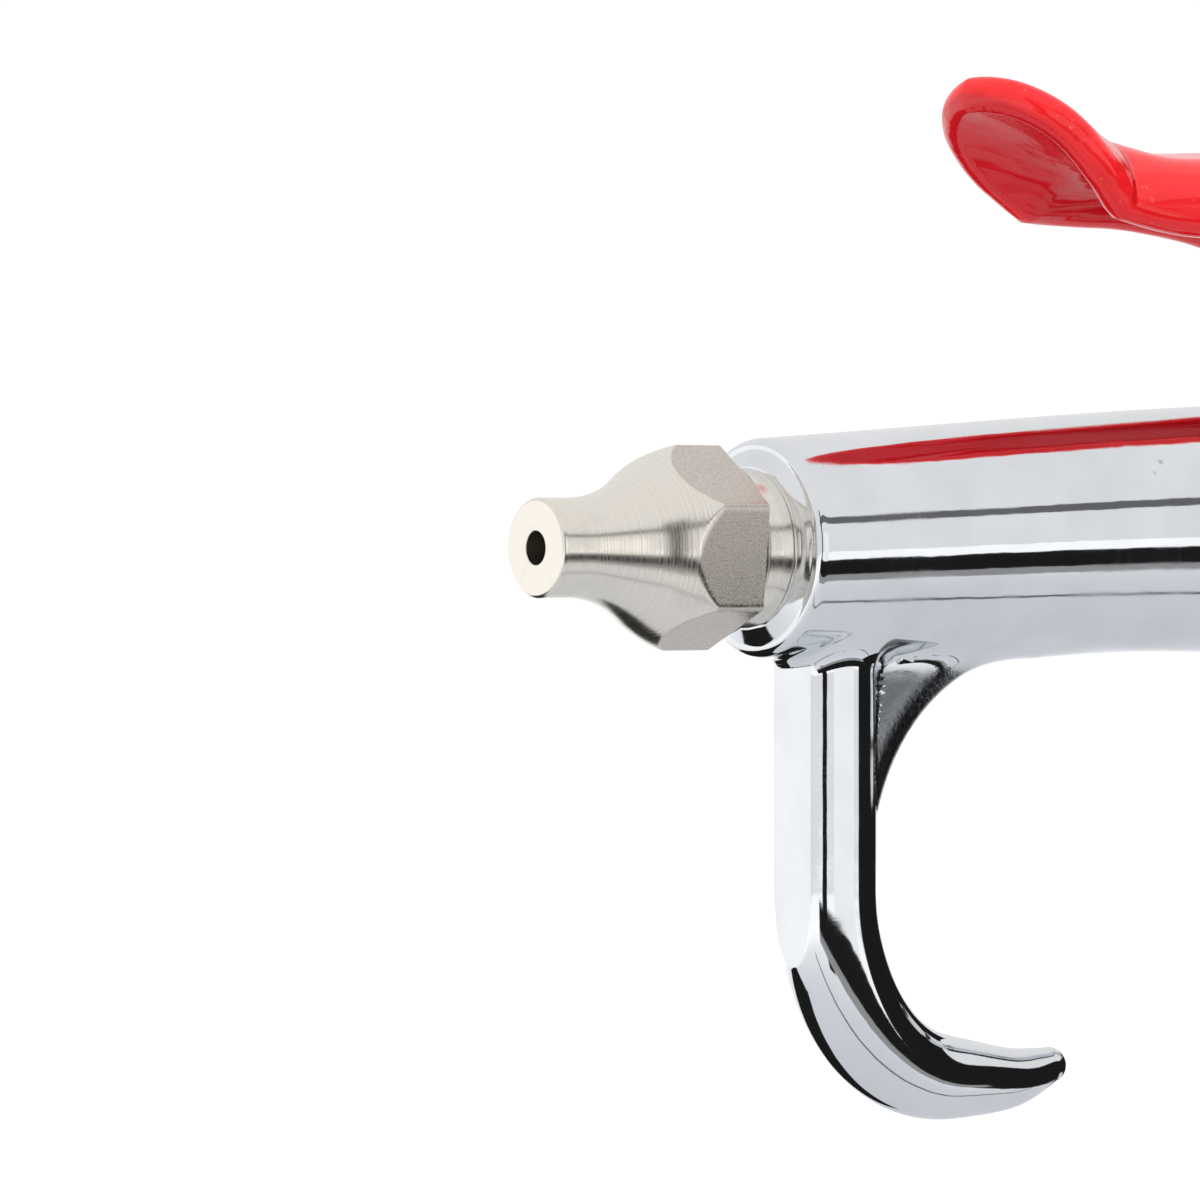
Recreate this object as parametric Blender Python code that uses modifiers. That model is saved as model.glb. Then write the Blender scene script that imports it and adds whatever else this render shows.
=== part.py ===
"""An air blow gun with a hanging hook, a squeeze lever on top and a poppet valve, in metres, +Z up.

The gun lies along X with its nozzle towards -X and its lever on the +Z side. The origin is the
centre of the air inlet's end face. Every size that can be set by itself has one name below, and
whatever fits, seats or passes through takes its size from the same names and a named clearance.
"""

from math import atan, atan2, cos, pi, radians, sin

import bmesh
import bpy
from mathutils import Matrix, Vector

# ---------------------------------------------------------------- clearances
SEAT_GAP = 0.0003            # between pieces that touch or are screwed together
RUN_GAP = 0.0002             # round a shaft that turns or slides
OVERCUT = 0.002              # how far a cutter runs past the face that it opens

# ---------------------------------------------------------------- casting
CASTING_LENGTH = 0.1262      # from the plane of the front rim to the rear face
FRONT_RADIUS = 0.0086
FRONT_RIM_ROUND = 0.0008
FRONT_LIP_RISE = 0.00065     # the shallow cone of the front face stands this far forward
TOP_RISE = 0.0030            # how much higher the top is over the front grip than at the rim
GRIP_TOP_FROM_FRONT = 0.0445
GRIP_HALF_WIDTH = 0.0108
REAR_RADIUS = 0.0118
CHANNEL_RADIUS = 0.0030      # the air channel along the middle

# ---------------------------------------------------------------- nozzle
NOZZLE_FLATS = 0.0140        # across the hexagon's flats
NOZZLE_ROLL = radians(6.0)   # where the hexagon stops when the nozzle is tight
NOZZLE_REACH = 0.0208        # from the front rim's plane to the tip face
TIP_RADIUS = 0.00385
TIP_EDGE_ROUND = 0.00035
TIP_STRAIGHT = 0.0028        # length of the tip's cylinder
TIP_HOLE_RADIUS = 0.0013
HEX_FRONT = 0.0081           # distance from the rim's plane to the front of the hexagon's corners
HEX_REAR = 0.0034            # and to the hexagon's rear face
FLARE_ANGLE = radians(37.5)  # steepest slope of the flare between the tip and the hexagon
FLARE_END_ANGLE = radians(22.0)
TIP_HOLE_DEPTH = 0.0070
HEX_CHAMFER = 0.0006         # along the hexagon at its rear
COLLAR_RADIUS = 0.00625
NECK_RADIUS = 0.0039         # thread relief that holds the seal
NOZZLE_THREAD_RADIUS = 0.00485
NOZZLE_THREAD_LENGTH = 0.0075

# ---------------------------------------------------------------- seals
RING_SECTION = 0.0006        # section radius of the rubber rings
WASHER_THICKNESS = 0.0010

# ---------------------------------------------------------------- hook
HOOK_BAR_RADIUS = 0.00403
HOOK_SETBACK = 0.0071        # from the front rim's plane to the middle of the stem
HOOK_DROP = 0.0424           # from the gun's axis to the middle of the bar at the hook's bottom
HOOK_REACH = 0.0125          # from the middle of the stem to the bottom of the bend
HOOK_STRAIGHT_END = 0.0270   # how far below the axis the stem stays straight
HOOK_TIP_LENGTH = 0.0122     # from the bottom of the bend to the tip
HOOK_TIP_RADIUS = 0.0011
HOOK_FLAT_DEPTH = 0.00078    # metal dressed off the front of the stem
WEB_HALF_THICKNESS = 0.0017
RIM_RADIUS = 0.0026          # bead along the inner edge of the web
RIM_ROOT_RADIUS = 0.0038     # and the same bead where it leaves the stem
RIM_REACH = 0.0205           # from the middle of the stem to where the bead meets the body

# ---------------------------------------------------------------- valve
VALVE_FROM_FRONT = 0.0870
STEM_RADIUS = 0.0016
STEM_TAIL_RADIUS = 0.0012
STEM_DOME_RADIUS = 0.0032
STEM_BORE_GAP = 0.0005
BOSS_RADIUS = 0.0051
BOSS_TOP = 0.0155            # height of the stem boss above the axis
GUIDE_THREAD_RADIUS = 0.0036
GUIDE_FLATS = 0.0086
GUIDE_HEAD_LENGTH = 0.0030
GLAND_FLOOR = 0.0059         # height of the floor under the stem's seal
VALVE_PORT_RADIUS = 0.0029
CHAMBER_RADIUS = 0.0072
CHAMBER_TOP = -0.0040
CHAMBER_BOSS_WALL = 0.0028
CHAMBER_BOSS_BOTTOM = -0.0170
SEAT_THICKNESS = 0.0020
SEAT_LIP_RISE = 0.0005
SEAT_LIP_WIDTH = 0.0008
SEAL_THICKNESS = 0.0016
POPPET_RADIUS = 0.0047
POPPET_THICKNESS = 0.0018
POPPET_NUT_FLATS = 0.0045
POPPET_NUT_LENGTH = 0.0018
STEM_TAIL_END = 0.0005       # how far the stem shows below its nut
SPRING_RADIUS = 0.0037
SPRING_WIRE_RADIUS = 0.00040
SPRING_TURNS = 6
CAP_FLATS = 0.0160
CAP_HEAD_LENGTH = 0.0045
CAP_FLOOR_THICKNESS = 0.0028
CAP_INNER_RADIUS = 0.0052
CAP_THREAD_LENGTH = 0.0047

# ---------------------------------------------------------------- inlet
INLET_FLATS = 0.0190
INLET_HEAD_LENGTH = 0.0080
INLET_THREAD_RADIUS = 0.0079
INLET_THREAD_LENGTH = 0.0090
INLET_BORE_RADIUS = 0.0059   # G 1/4 tapping size
INLET_BORE_DEPTH = 0.0120
INLET_PORT_RADIUS = 0.0042
INLET_PASSAGE_RADIUS = 0.0032
INLET_MOUTH_CHAMFER = 0.0008

# ---------------------------------------------------------------- hinge and lever
HINGE_BEHIND_VALVE = 0.0250
HINGE_HEIGHT = 0.0155
PIN_RADIUS = 0.0020
PIN_HEAD_RADIUS = 0.0033
PIN_HEAD_THICKNESS = 0.0010
PIN_GROOVE_RADIUS = 0.0015
CLIP_RADIUS = 0.0034
CLIP_THICKNESS = 0.0007
HINGE_WASHER_THICKNESS = 0.0008
HINGE_WASHER_RADIUS = 0.0032
LUG_RADIUS = 0.0042
LEVER_HALF_WIDTH = 0.0062    # to the middle of the sheet
LEVER_SHEET = 0.0010
LEVER_CORNER = 0.0030        # bend radius, to the middle of the sheet
LEVER_SPOON_CORNER = 0.0056  # the same in the spoon at the tip
LEVER_TIP = 0.0901           # from the hinge to the tip of the sheet
LEVER_TAIL = 0.0060          # behind the hinge
LEVER_NOSE = 0.0111          # length of the blank's rounded nose
LEVER_LEAN = radians(6.0)    # how far the squeezed end has settled towards -Y
GRIP_WALL = 0.0007           # the dipped coat
DIP_AHEAD_OF_VALVE = 0.0050  # from the stem's axis to the dip line
SPOON_BEFORE_TIP = 0.0201    # where the spoon starts, back from the tip
SPOON_RUN = 0.0120           # and the length over which its corners open out

ROUND = 36                   # sides of a turned piece
FINE_ROUND = 20              # sides of a small one

# ---------------------------------------------------------------- places that follow from the sizes
rear_face_x = -(INLET_HEAD_LENGTH + WASHER_THICKNESS + 2 * SEAT_GAP)
front_x = rear_face_x - CASTING_LENGTH
valve_x = front_x + VALVE_FROM_FRONT
hinge_x = valve_x + HINGE_BEHIND_VALVE
stem_x = front_x + HOOK_SETBACK
seat_top_z = CHAMBER_TOP - SEAT_GAP
seal_top_z = seat_top_z - SEAT_THICKNESS - SEAT_LIP_RISE - SEAT_GAP
poppet_top_z = seal_top_z - SEAL_THICKNESS - SEAT_GAP
nut_top_z = poppet_top_z - POPPET_THICKNESS - SEAT_GAP
cap_head_top_z = CHAMBER_BOSS_BOTTOM - WASHER_THICKNESS - 2 * SEAT_GAP
cap_bottom_z = cap_head_top_z - CAP_HEAD_LENGTH
cap_floor_z = cap_bottom_z + CAP_FLOOR_THICKNESS
ring_radius_on_stem = STEM_RADIUS + SEAT_GAP + RING_SECTION
guide_bottom_z = GLAND_FLOOR + 2 * RING_SECTION + 2 * SEAT_GAP

# ---------------------------------------------------------------- collections
for item in list(bpy.data.objects):
    bpy.data.objects.remove(item, do_unlink=True)
gun = bpy.data.collections.new("air_blow_gun")
cutters = bpy.data.collections.new("cutters")
bpy.context.scene.collection.children.link(gun)
bpy.context.scene.collection.children.link(cutters)

ALONG_X = Matrix.Rotation(pi / 2, 4, "Y")     # turns a piece's own +Z to the gun's +X
ALONG_Y = Matrix.Rotation(-pi / 2, 4, "X")    # and to +Y
UPRIGHT = Matrix.Identity(4)
IN_XZ = Matrix.Rotation(pi / 2, 4, "X")       # stands a flat outline up in the gun's middle plane
HALF_STEP = Matrix.Rotation(pi / ROUND, 4, "Z")  # keeps a boss's corners off those of its bore


def finish(name, colour, metallic, roughness):
    """Return the Principled material of one sub-part."""
    material = bpy.data.materials.new(name)
    material.use_nodes = True
    shader = material.node_tree.nodes["Principled BSDF"]
    shader.inputs["Base Color"].default_value = (*colour, 1.0)
    shader.inputs["Metallic"].default_value = metallic
    shader.inputs["Roughness"].default_value = roughness
    return material


CHROME = ((0.80, 0.82, 0.85), 1.0, 0.06)
NICKEL = ((0.70, 0.66, 0.58), 1.0, 0.22)
BRASS = ((0.72, 0.55, 0.25), 1.0, 0.30)
STEEL = ((0.62, 0.64, 0.66), 1.0, 0.30)
RED_COAT = ((0.80, 0.02, 0.03), 0.0, 0.25)
BLACK_RUBBER = ((0.03, 0.03, 0.03), 0.0, 0.60)
WHITE_PLASTIC = ((0.85, 0.85, 0.82), 0.0, 0.45)


def add(name, mesh, look=None, turn=UPRIGHT, place=(0.0, 0.0, 0.0)):
    """Put a mesh in the scene: as a part if it has a look, otherwise as a cutter."""
    item = bpy.data.objects.new(name, mesh)
    item.matrix_world = Matrix.Translation(place) @ turn
    if look:
        mesh.materials.clear()
        mesh.materials.append(finish(name, *look))
        gun.objects.link(item)
    else:
        item.hide_render = True
        item.display_type = "WIRE"
        cutters.objects.link(item)
    return item


def cut(item, tool, operation="DIFFERENCE"):
    """Give a part a Boolean with one cutter."""
    step = item.modifiers.new(tool.name, "BOOLEAN")
    step.operation = operation
    step.solver = "EXACT"
    step.object = tool
    return item


def smooth(mesh, angle=radians(35.0)):
    """Shade a mesh smooth, with edges over the angle left sharp."""
    mesh.shade_smooth()
    mesh.set_sharp_from_angle(angle=angle)


def turned(name, outline, look=None, turn=UPRIGHT, place=(0.0, 0.0, 0.0), steps=ROUND):
    """A piece turned about its own Z. The outline is (radius, height) pairs, down the outer side.

    An outline that starts and ends on the axis is solid. Any other outline is closed, as a ring is.
    """
    solid = outline[0][0] == 0.0 and outline[-1][0] == 0.0
    count = len(outline)
    edges = [(i, i + 1) for i in range(count - 1)]
    if not solid:
        edges.append((count - 1, 0))
    mesh = bpy.data.meshes.new(name)
    mesh.from_pydata([(radius, 0.0, height) for radius, height in outline], edges, [])
    item = add(name, mesh, look, turn, place)
    spin = item.modifiers.new("turn", "SCREW")
    spin.steps = steps
    spin.render_steps = steps
    spin.use_merge_vertices = True
    spin.merge_threshold = 0.00001
    return item


def rod(name, radius, low, high, look=None, turn=UPRIGHT, place=(0.0, 0.0, 0.0), steps=ROUND):
    """A plain cylinder from low to high along its own Z."""
    outline = [(0.0, high), (radius, high), (radius, low), (0.0, low)]
    return turned(name, outline, look, turn, place, steps)


def ring(name, inner, outer, low, high, look, turn=UPRIGHT, place=(0.0, 0.0, 0.0), steps=ROUND):
    """A flat ring from low to high along its own Z."""
    outline = [(inner, high), (outer, high), (outer, low), (inner, low)]
    return turned(name, outline, look, turn, place, steps)


def rubber_ring(name, radius, turn, place):
    """A rubber ring of the common section, in its own XY plane."""
    bpy.ops.mesh.primitive_torus_add(
        major_radius=radius, minor_radius=RING_SECTION, major_segments=36, minor_segments=8
    )
    made = bpy.context.object
    mesh = made.data
    bpy.data.objects.remove(made)
    mesh.name = name
    smooth(mesh)
    return add(name, mesh, BLACK_RUBBER, turn, place)


def hexagon(name, flats, low, high, turn=UPRIGHT, place=(0.0, 0.0, 0.0)):
    """A hexagonal bar from low to high along its own Z, with two flats facing its own X."""
    mesh = bpy.data.meshes.new(name)
    shape = bmesh.new()
    bmesh.ops.create_cone(
        shape, cap_ends=True, segments=6, depth=high - low,
        radius1=flats / 2 / cos(pi / 6), radius2=flats / 2 / cos(pi / 6),
        matrix=Matrix.Translation((0.0, 0.0, (high + low) / 2)) @ Matrix.Rotation(pi / 6, 4, "Z"),
    )
    shape.to_mesh(mesh)
    shape.free()
    return add(name, mesh, None, turn, place)


def block(name, low, high):
    """A box between two corners, as a cutter or as a solid to join."""
    mesh = bpy.data.meshes.new(name)
    shape = bmesh.new()
    bmesh.ops.create_cube(shape, size=1.0)
    size = [b - a for a, b in zip(low, high)]
    middle = [(a + b) / 2 for a, b in zip(low, high)]
    bmesh.ops.scale(shape, vec=size, verts=shape.verts)
    bmesh.ops.translate(shape, vec=middle, verts=shape.verts)
    shape.to_mesh(mesh)
    shape.free()
    return add(name, mesh)


def loft(name, rings, look=None):
    """A closed solid through rings of equal point counts, capped at both ends."""
    count = len(rings[0])
    points = [point for one in rings for point in one]
    faces = []
    for row in range(len(rings) - 1):
        for side in range(count):
            following = (side + 1) % count
            faces.append((
                row * count + side, row * count + following,
                (row + 1) * count + following, (row + 1) * count + side,
            ))
    faces.append(tuple(range(count)))
    faces.append(tuple(range((len(rings) - 1) * count, len(rings) * count)))
    mesh = bpy.data.meshes.new(name)
    mesh.from_pydata(points, [], faces)
    shape = bmesh.new()
    shape.from_mesh(mesh)
    bmesh.ops.recalc_face_normals(shape, faces=shape.faces)
    shape.to_mesh(mesh)
    shape.free()
    smooth(mesh)
    return add(name, mesh, look)


def through(points, at):
    """Read a smooth curve through (position, value) pairs, straight past its ends."""
    if at <= points[0][0] or at >= points[-1][0]:
        (x0, y0), (x1, y1) = points[:2] if at <= points[0][0] else points[-2:]
        return y0 + (y1 - y0) * (at - x0) / (x1 - x0)
    i = max(k for k in range(len(points) - 1) if points[k][0] <= at)
    (x1, y1), (x2, y2) = points[i], points[i + 1]
    x0, y0 = points[i - 1] if i else (2 * x1 - x2, 2 * y1 - y2)
    x3, y3 = points[i + 2] if i + 2 < len(points) else (2 * x2 - x1, 2 * y2 - y1)
    span = x2 - x1
    slope_in = (y2 - y0) / (x2 - x0) * span
    slope_out = (y3 - y1) / (x3 - x1) * span
    t = (at - x1) / span
    return (
        y1 * (2 * t**3 - 3 * t**2 + 1) + slope_in * (t**3 - 2 * t**2 + t)
        + y2 * (3 * t**2 - 2 * t**3) + slope_out * (t**3 - t**2)
    )


def bar(name, path, count, sides=FINE_ROUND):
    """A round bar in the XZ plane through (x, z, radius) stations, with `count` rings a stretch."""
    spots = [index / count for index in range(count * (len(path) - 1) + 1)]
    track = [[(k, station[axis]) for k, station in enumerate(path)] for axis in range(3)]
    rings = []
    for spot in spots:
        x, z, radius = (through(track[axis], spot) for axis in range(3))
        step = 0.01
        before = Vector((through(track[0], spot - step), 0.0, through(track[1], spot - step)))
        after = Vector((through(track[0], spot + step), 0.0, through(track[1], spot + step)))
        ahead = (after - before).normalized()
        across = Vector((ahead.z, 0.0, -ahead.x))
        rings.append([
            Vector((x, 0.0, z)) + radius * (cos(a) * across + sin(a) * Vector((0.0, 1.0, 0.0)))
            for a in (2 * pi * side / sides for side in range(sides))
        ])
    return loft(name, rings)


# ---------------------------------------------------------------- body casting
# Stations from the front rim's plane: distance back, top, bottom, half width.
middle_top = FRONT_RADIUS + TOP_RISE
BODY_STATIONS = [
    (FRONT_RIM_ROUND, FRONT_RADIUS, FRONT_RADIUS, FRONT_RADIUS),
    (GRIP_TOP_FROM_FRONT, middle_top, FRONT_RADIUS + 0.0001, 0.5 * (middle_top + FRONT_RADIUS) - 0.0002),
    (VALVE_FROM_FRONT - 0.0150, middle_top + 0.0008, FRONT_RADIUS + 0.0015, GRIP_HALF_WIDTH),
    (VALVE_FROM_FRONT + 0.0050, middle_top + 0.0006, REAR_RADIUS - 0.0005, REAR_RADIUS - 0.0003),
    (CASTING_LENGTH, REAR_RADIUS, REAR_RADIUS, REAR_RADIUS),
]


def body_ring(back, top, bottom, half_width, shrink=0.0):
    """An oval ring of the casting, `back` from the front rim's plane."""
    middle, half_height = (top - bottom) / 2, (top + bottom) / 2
    return [
        Vector((
            front_x + back,
            (half_width - shrink) * cos(2 * pi * (side + 0.5) / ROUND),
            middle + (half_height - shrink) * sin(2 * pi * (side + 0.5) / ROUND),
        ))
        for side in range(ROUND)
    ]


def casting_shell():
    """The outer form: front lip, shallow cone, rounded rim, then ovals that grow to the rear."""
    rings = [body_ring(-FRONT_LIP_RISE, *[FRONT_RADIUS] * 3, shrink=FRONT_RADIUS - COLLAR_RADIUS)]
    for turn_share in (0.0, 0.25, 0.5, 0.75):
        angle = turn_share * pi / 2
        rings.append(body_ring(
            FRONT_RIM_ROUND * (1 - cos(angle)), *[FRONT_RADIUS] * 3,
            shrink=FRONT_RIM_ROUND * (1 - sin(angle)),
        ))
    tracks = [[(station[0], station[k]) for station in BODY_STATIONS] for k in (1, 2, 3)]
    stretches = 16
    for index in range(stretches + 1):
        back = FRONT_RIM_ROUND + (CASTING_LENGTH - FRONT_RIM_ROUND) * index / stretches
        rings.append(body_ring(back, *(through(track, back) for track in tracks)))
    return loft("body_casting", rings, CHROME)


def hook_path():
    """The stem, the bend and the tip: (x, z, radius) stations of the bar."""
    bottom_x = stem_x + HOOK_REACH
    bend_rise = HOOK_DROP - HOOK_STRAIGHT_END
    path = [
        (stem_x, -0.5 * FRONT_RADIUS, HOOK_BAR_RADIUS),
        (stem_x, -0.5 * (FRONT_RADIUS + HOOK_STRAIGHT_END), HOOK_BAR_RADIUS),
    ]
    for share, radius in ((0.0, 1.0), (0.33, 1.0), (0.66, 0.97), (1.0, 0.88)):
        angle = share * pi / 2
        path.append((
            stem_x + HOOK_REACH * (1 - cos(angle)),
            -HOOK_STRAIGHT_END - bend_rise * sin(angle),
            HOOK_BAR_RADIUS * radius,
        ))
    path.append((bottom_x + 0.53 * HOOK_TIP_LENGTH, -HOOK_DROP - 0.0004, 0.61 * HOOK_BAR_RADIUS))
    path.append((bottom_x + 0.90 * HOOK_TIP_LENGTH, -HOOK_DROP + 0.0006, 0.39 * HOOK_BAR_RADIUS))
    path.append((bottom_x + HOOK_TIP_LENGTH, -HOOK_DROP + 0.0011, HOOK_TIP_RADIUS))
    return path


def rim_path():
    """The bead that runs from the stem up to the body, along the inner edge of the web."""
    low_z, high_z = -HOOK_STRAIGHT_END, -FRONT_RADIUS + RIM_RADIUS
    path = []
    for share in (0.0, 0.2, 0.4, 0.6, 0.8, 1.0):
        angle = share * pi / 2
        path.append((
            stem_x + RIM_REACH * (1 - cos(angle)),
            low_z + (high_z - low_z) * sin(angle),
            RIM_RADIUS + (RIM_ROOT_RADIUS - RIM_RADIUS) * (1 - share) ** 2,
        ))
    return path


def web():
    """The thin plate between the stem, the body and the bead."""
    edge = [(x, z) for x, z, _ in rim_path()]
    outline = edge + [(edge[-1][0], -0.4 * FRONT_RADIUS), (stem_x, -0.4 * FRONT_RADIUS)]
    return plate("web", outline, WEB_HALF_THICKNESS, IN_XZ)


def plate(name, outline, half_thickness, matrix, look=None):
    """A flat plate with the given outline in its own XY plane."""
    curve = bpy.data.curves.new(name, "CURVE")
    curve.dimensions = "2D"
    curve.fill_mode = "BOTH"
    curve.extrude = half_thickness
    line = curve.splines.new("POLY")
    line.points.add(len(outline) - 1)
    for point, (x, y) in zip(line.points, outline):
        point.co = (x, y, 0.0, 1.0)
    line.use_cyclic_u = True
    return curve_to_mesh(name, curve, matrix, look)


def curve_to_mesh(name, curve, matrix, look=None):
    """Turn a curve into a closed mesh object, with its caps welded on."""
    holder = bpy.data.objects.new(name + "_curve", curve)
    holder.matrix_world = matrix
    bpy.context.scene.collection.objects.link(holder)
    bpy.context.view_layer.update()
    seen = holder.evaluated_get(bpy.context.evaluated_depsgraph_get())
    mesh = bpy.data.meshes.new_from_object(seen)
    shape = bmesh.new()
    shape.from_mesh(mesh)
    bmesh.ops.remove_doubles(shape, verts=shape.verts, dist=0.000001)
    bmesh.ops.recalc_face_normals(shape, faces=shape.faces)
    shape.to_mesh(mesh)
    shape.free()
    bpy.data.objects.remove(holder)
    mesh.name = name
    return add(name, mesh, look, matrix)


def body_casting():
    """The zinc casting with its hook, bosses, lug and bores."""
    body = casting_shell()
    hook = bar("hook_bar", hook_path(), count=3)
    flat_x = stem_x - HOOK_BAR_RADIUS + HOOK_FLAT_DEPTH
    cut(hook, block(
        "hook_flat", (flat_x - 0.010, -0.010, -HOOK_DROP - 0.010), (flat_x, 0.010, -FRONT_RADIUS - 0.0006)
    ))
    for piece in (hook, bar("web_rim", rim_path(), count=2), web()):
        cut(body, piece, "UNION")
    boss = rod("stem_boss", BOSS_RADIUS, 0.0, BOSS_TOP, turn=HALF_STEP, place=(valve_x, 0.0, 0.0))
    chamber_boss = rod(
        "chamber_boss", CHAMBER_RADIUS + CHAMBER_BOSS_WALL, CHAMBER_BOSS_BOTTOM, -0.001,
        turn=HALF_STEP, place=(valve_x, 0.0, 0.0),
    )
    lug_half = LEVER_HALF_WIDTH - LEVER_SHEET / 2 - HINGE_WASHER_THICKNESS - 2 * SEAT_GAP
    arch = [
        (hinge_x + LUG_RADIUS * cos(pi * k / 14), HINGE_HEIGHT + LUG_RADIUS * sin(pi * k / 14))
        for k in range(15)
    ]
    lug = plate(
        "lug", [(hinge_x + LUG_RADIUS, 0.001), *arch, (hinge_x - LUG_RADIUS, 0.001)], lug_half, IN_XZ
    )
    for piece in (boss, chamber_boss, lug):
        cut(body, piece, "UNION")

    front = (front_x, 0.0, 0.0)
    seal_floor = -FRONT_LIP_RISE + 2 * RING_SECTION + 2 * SEAT_GAP
    thread_end = seal_floor + NOZZLE_THREAD_LENGTH + SEAT_GAP
    seal_wall = NECK_RADIUS + 2 * RING_SECTION + 2 * SEAT_GAP
    air_way = turned("front_bore", [
        (0.0, VALVE_FROM_FRONT), (CHANNEL_RADIUS, VALVE_FROM_FRONT), (CHANNEL_RADIUS, thread_end),
        (NOZZLE_THREAD_RADIUS + SEAT_GAP, thread_end), (NOZZLE_THREAD_RADIUS + SEAT_GAP, seal_floor),
        (seal_wall, seal_floor), (seal_wall, -FRONT_LIP_RISE - OVERCUT), (0.0, -FRONT_LIP_RISE - OVERCUT),
    ], turn=ALONG_X, place=front)
    stem_hole = STEM_RADIUS + STEM_BORE_GAP
    valve_bore = turned("valve_bore", [
        (0.0, BOSS_TOP + OVERCUT), (GUIDE_THREAD_RADIUS + SEAT_GAP, BOSS_TOP + OVERCUT),
        (GUIDE_THREAD_RADIUS + SEAT_GAP, GLAND_FLOOR), (stem_hole, GLAND_FLOOR),
        (stem_hole, 0.6 * CHANNEL_RADIUS), (VALVE_PORT_RADIUS, 0.6 * CHANNEL_RADIUS),
        (VALVE_PORT_RADIUS, CHAMBER_TOP), (CHAMBER_RADIUS, CHAMBER_TOP),
        (CHAMBER_RADIUS, CHAMBER_BOSS_BOTTOM - OVERCUT), (0.0, CHAMBER_BOSS_BOTTOM - OVERCUT),
    ], place=(valve_x, 0.0, 0.0))
    inlet_floor_x = rear_face_x - INLET_THREAD_LENGTH - SEAT_GAP
    inlet_bore = rod(
        "inlet_bore", INLET_THREAD_RADIUS + SEAT_GAP, inlet_floor_x, rear_face_x + OVERCUT, turn=ALONG_X
    )
    target = Vector((valve_x, 0.0, (CHAMBER_TOP + CHAMBER_BOSS_BOTTOM) / 2 + 0.0020))
    start = Vector((inlet_floor_x + OVERCUT, 0.0, 0.0))
    passage = rod(
        "inlet_passage", INLET_PASSAGE_RADIUS, 0.0, (start - target).length,
        turn=(start - target).to_track_quat("Z", "Y").to_matrix().to_4x4(), place=target,
    )
    pin_hole = rod(
        "lug_hole", PIN_RADIUS + SEAT_GAP, -lug_half - OVERCUT, lug_half + OVERCUT,
        turn=ALONG_Y, place=(hinge_x, 0.0, HINGE_HEIGHT),
    )
    for tool in (air_way, valve_bore, inlet_bore, passage, pin_hole):
        cut(body, tool)
    return body


# ---------------------------------------------------------------- nozzle
def nozzle():
    """The nozzle, turned from hexagonal bar: tip, flare, hexagon, collar, neck and thread."""
    corner = NOZZLE_FLATS / 2 / cos(pi / 6)
    flare_start = -NOZZLE_REACH + TIP_STRAIGHT
    rise = corner - TIP_RADIUS
    run = -HEX_FRONT - flare_start
    # Two tangent arcs: hollow up to the steepest slope, then rounded out to the hexagon's corners.
    sine, cosine = sin(FLARE_ANGLE), 1 - cos(FLARE_ANGLE)
    sine_out = sin(FLARE_ANGLE) - sin(FLARE_END_ANGLE)
    cosine_out = cos(FLARE_END_ANGLE) - cos(FLARE_ANGLE)
    determinant = sine * cosine_out - sine_out * cosine
    hollow = (run * cosine_out - sine_out * rise) / determinant
    crown = (sine * rise - run * cosine) / determinant
    outline = [
        (COLLAR_RADIUS, -FRONT_LIP_RISE - SEAT_GAP), (COLLAR_RADIUS, -HEX_REAR),
        (NOZZLE_FLATS / 2 - 0.0002, -HEX_REAR), (corner + 0.0001, -HEX_REAR - HEX_CHAMFER),
        (corner + 0.0001, -HEX_FRONT + 0.0001),
    ]
    for step in range(5):
        angle = FLARE_END_ANGLE + (FLARE_ANGLE - FLARE_END_ANGLE) * step / 5
        outline.append((
            corner - crown * (cos(FLARE_END_ANGLE) - cos(angle)),
            -HEX_FRONT - crown * (sin(angle) - sin(FLARE_END_ANGLE)),
        ))
    for step in range(8):
        angle = FLARE_ANGLE * (1 - step / 7)
        outline.append((TIP_RADIUS + hollow * (1 - cos(angle)), flare_start + hollow * sin(angle)))
    for step in range(1, 4):
        angle = step / 3 * pi / 2
        outline.append((
            TIP_RADIUS - TIP_EDGE_ROUND * (1 - cos(angle)),
            -NOZZLE_REACH + TIP_EDGE_ROUND * (1 - sin(angle)),
        ))
    neck_end = -FRONT_LIP_RISE + 2 * RING_SECTION + 2 * SEAT_GAP
    thread_end = neck_end + NOZZLE_THREAD_LENGTH
    outline += [
        (TIP_HOLE_RADIUS, -NOZZLE_REACH), (TIP_HOLE_RADIUS, -NOZZLE_REACH + TIP_HOLE_DEPTH),
        (0.6 * CHANNEL_RADIUS, -NOZZLE_REACH + TIP_HOLE_DEPTH + 0.0008), (0.8 * CHANNEL_RADIUS, thread_end),
        (NOZZLE_THREAD_RADIUS - 0.0004, thread_end), (NOZZLE_THREAD_RADIUS, thread_end - 0.0004),
        (NOZZLE_THREAD_RADIUS, neck_end), (NECK_RADIUS, neck_end),
        (NECK_RADIUS, -FRONT_LIP_RISE - SEAT_GAP),
    ]
    place = (front_x, 0.0, 0.0)
    piece = turned("nozzle", outline, NICKEL, ALONG_X, place)
    roll = ALONG_X @ Matrix.Rotation(NOZZLE_ROLL, 4, "Z")
    bar_stock = hexagon(
        "nozzle_bar", NOZZLE_FLATS, -NOZZLE_REACH - OVERCUT, thread_end + OVERCUT, roll, place
    )
    return cut(piece, bar_stock, "INTERSECT")


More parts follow.
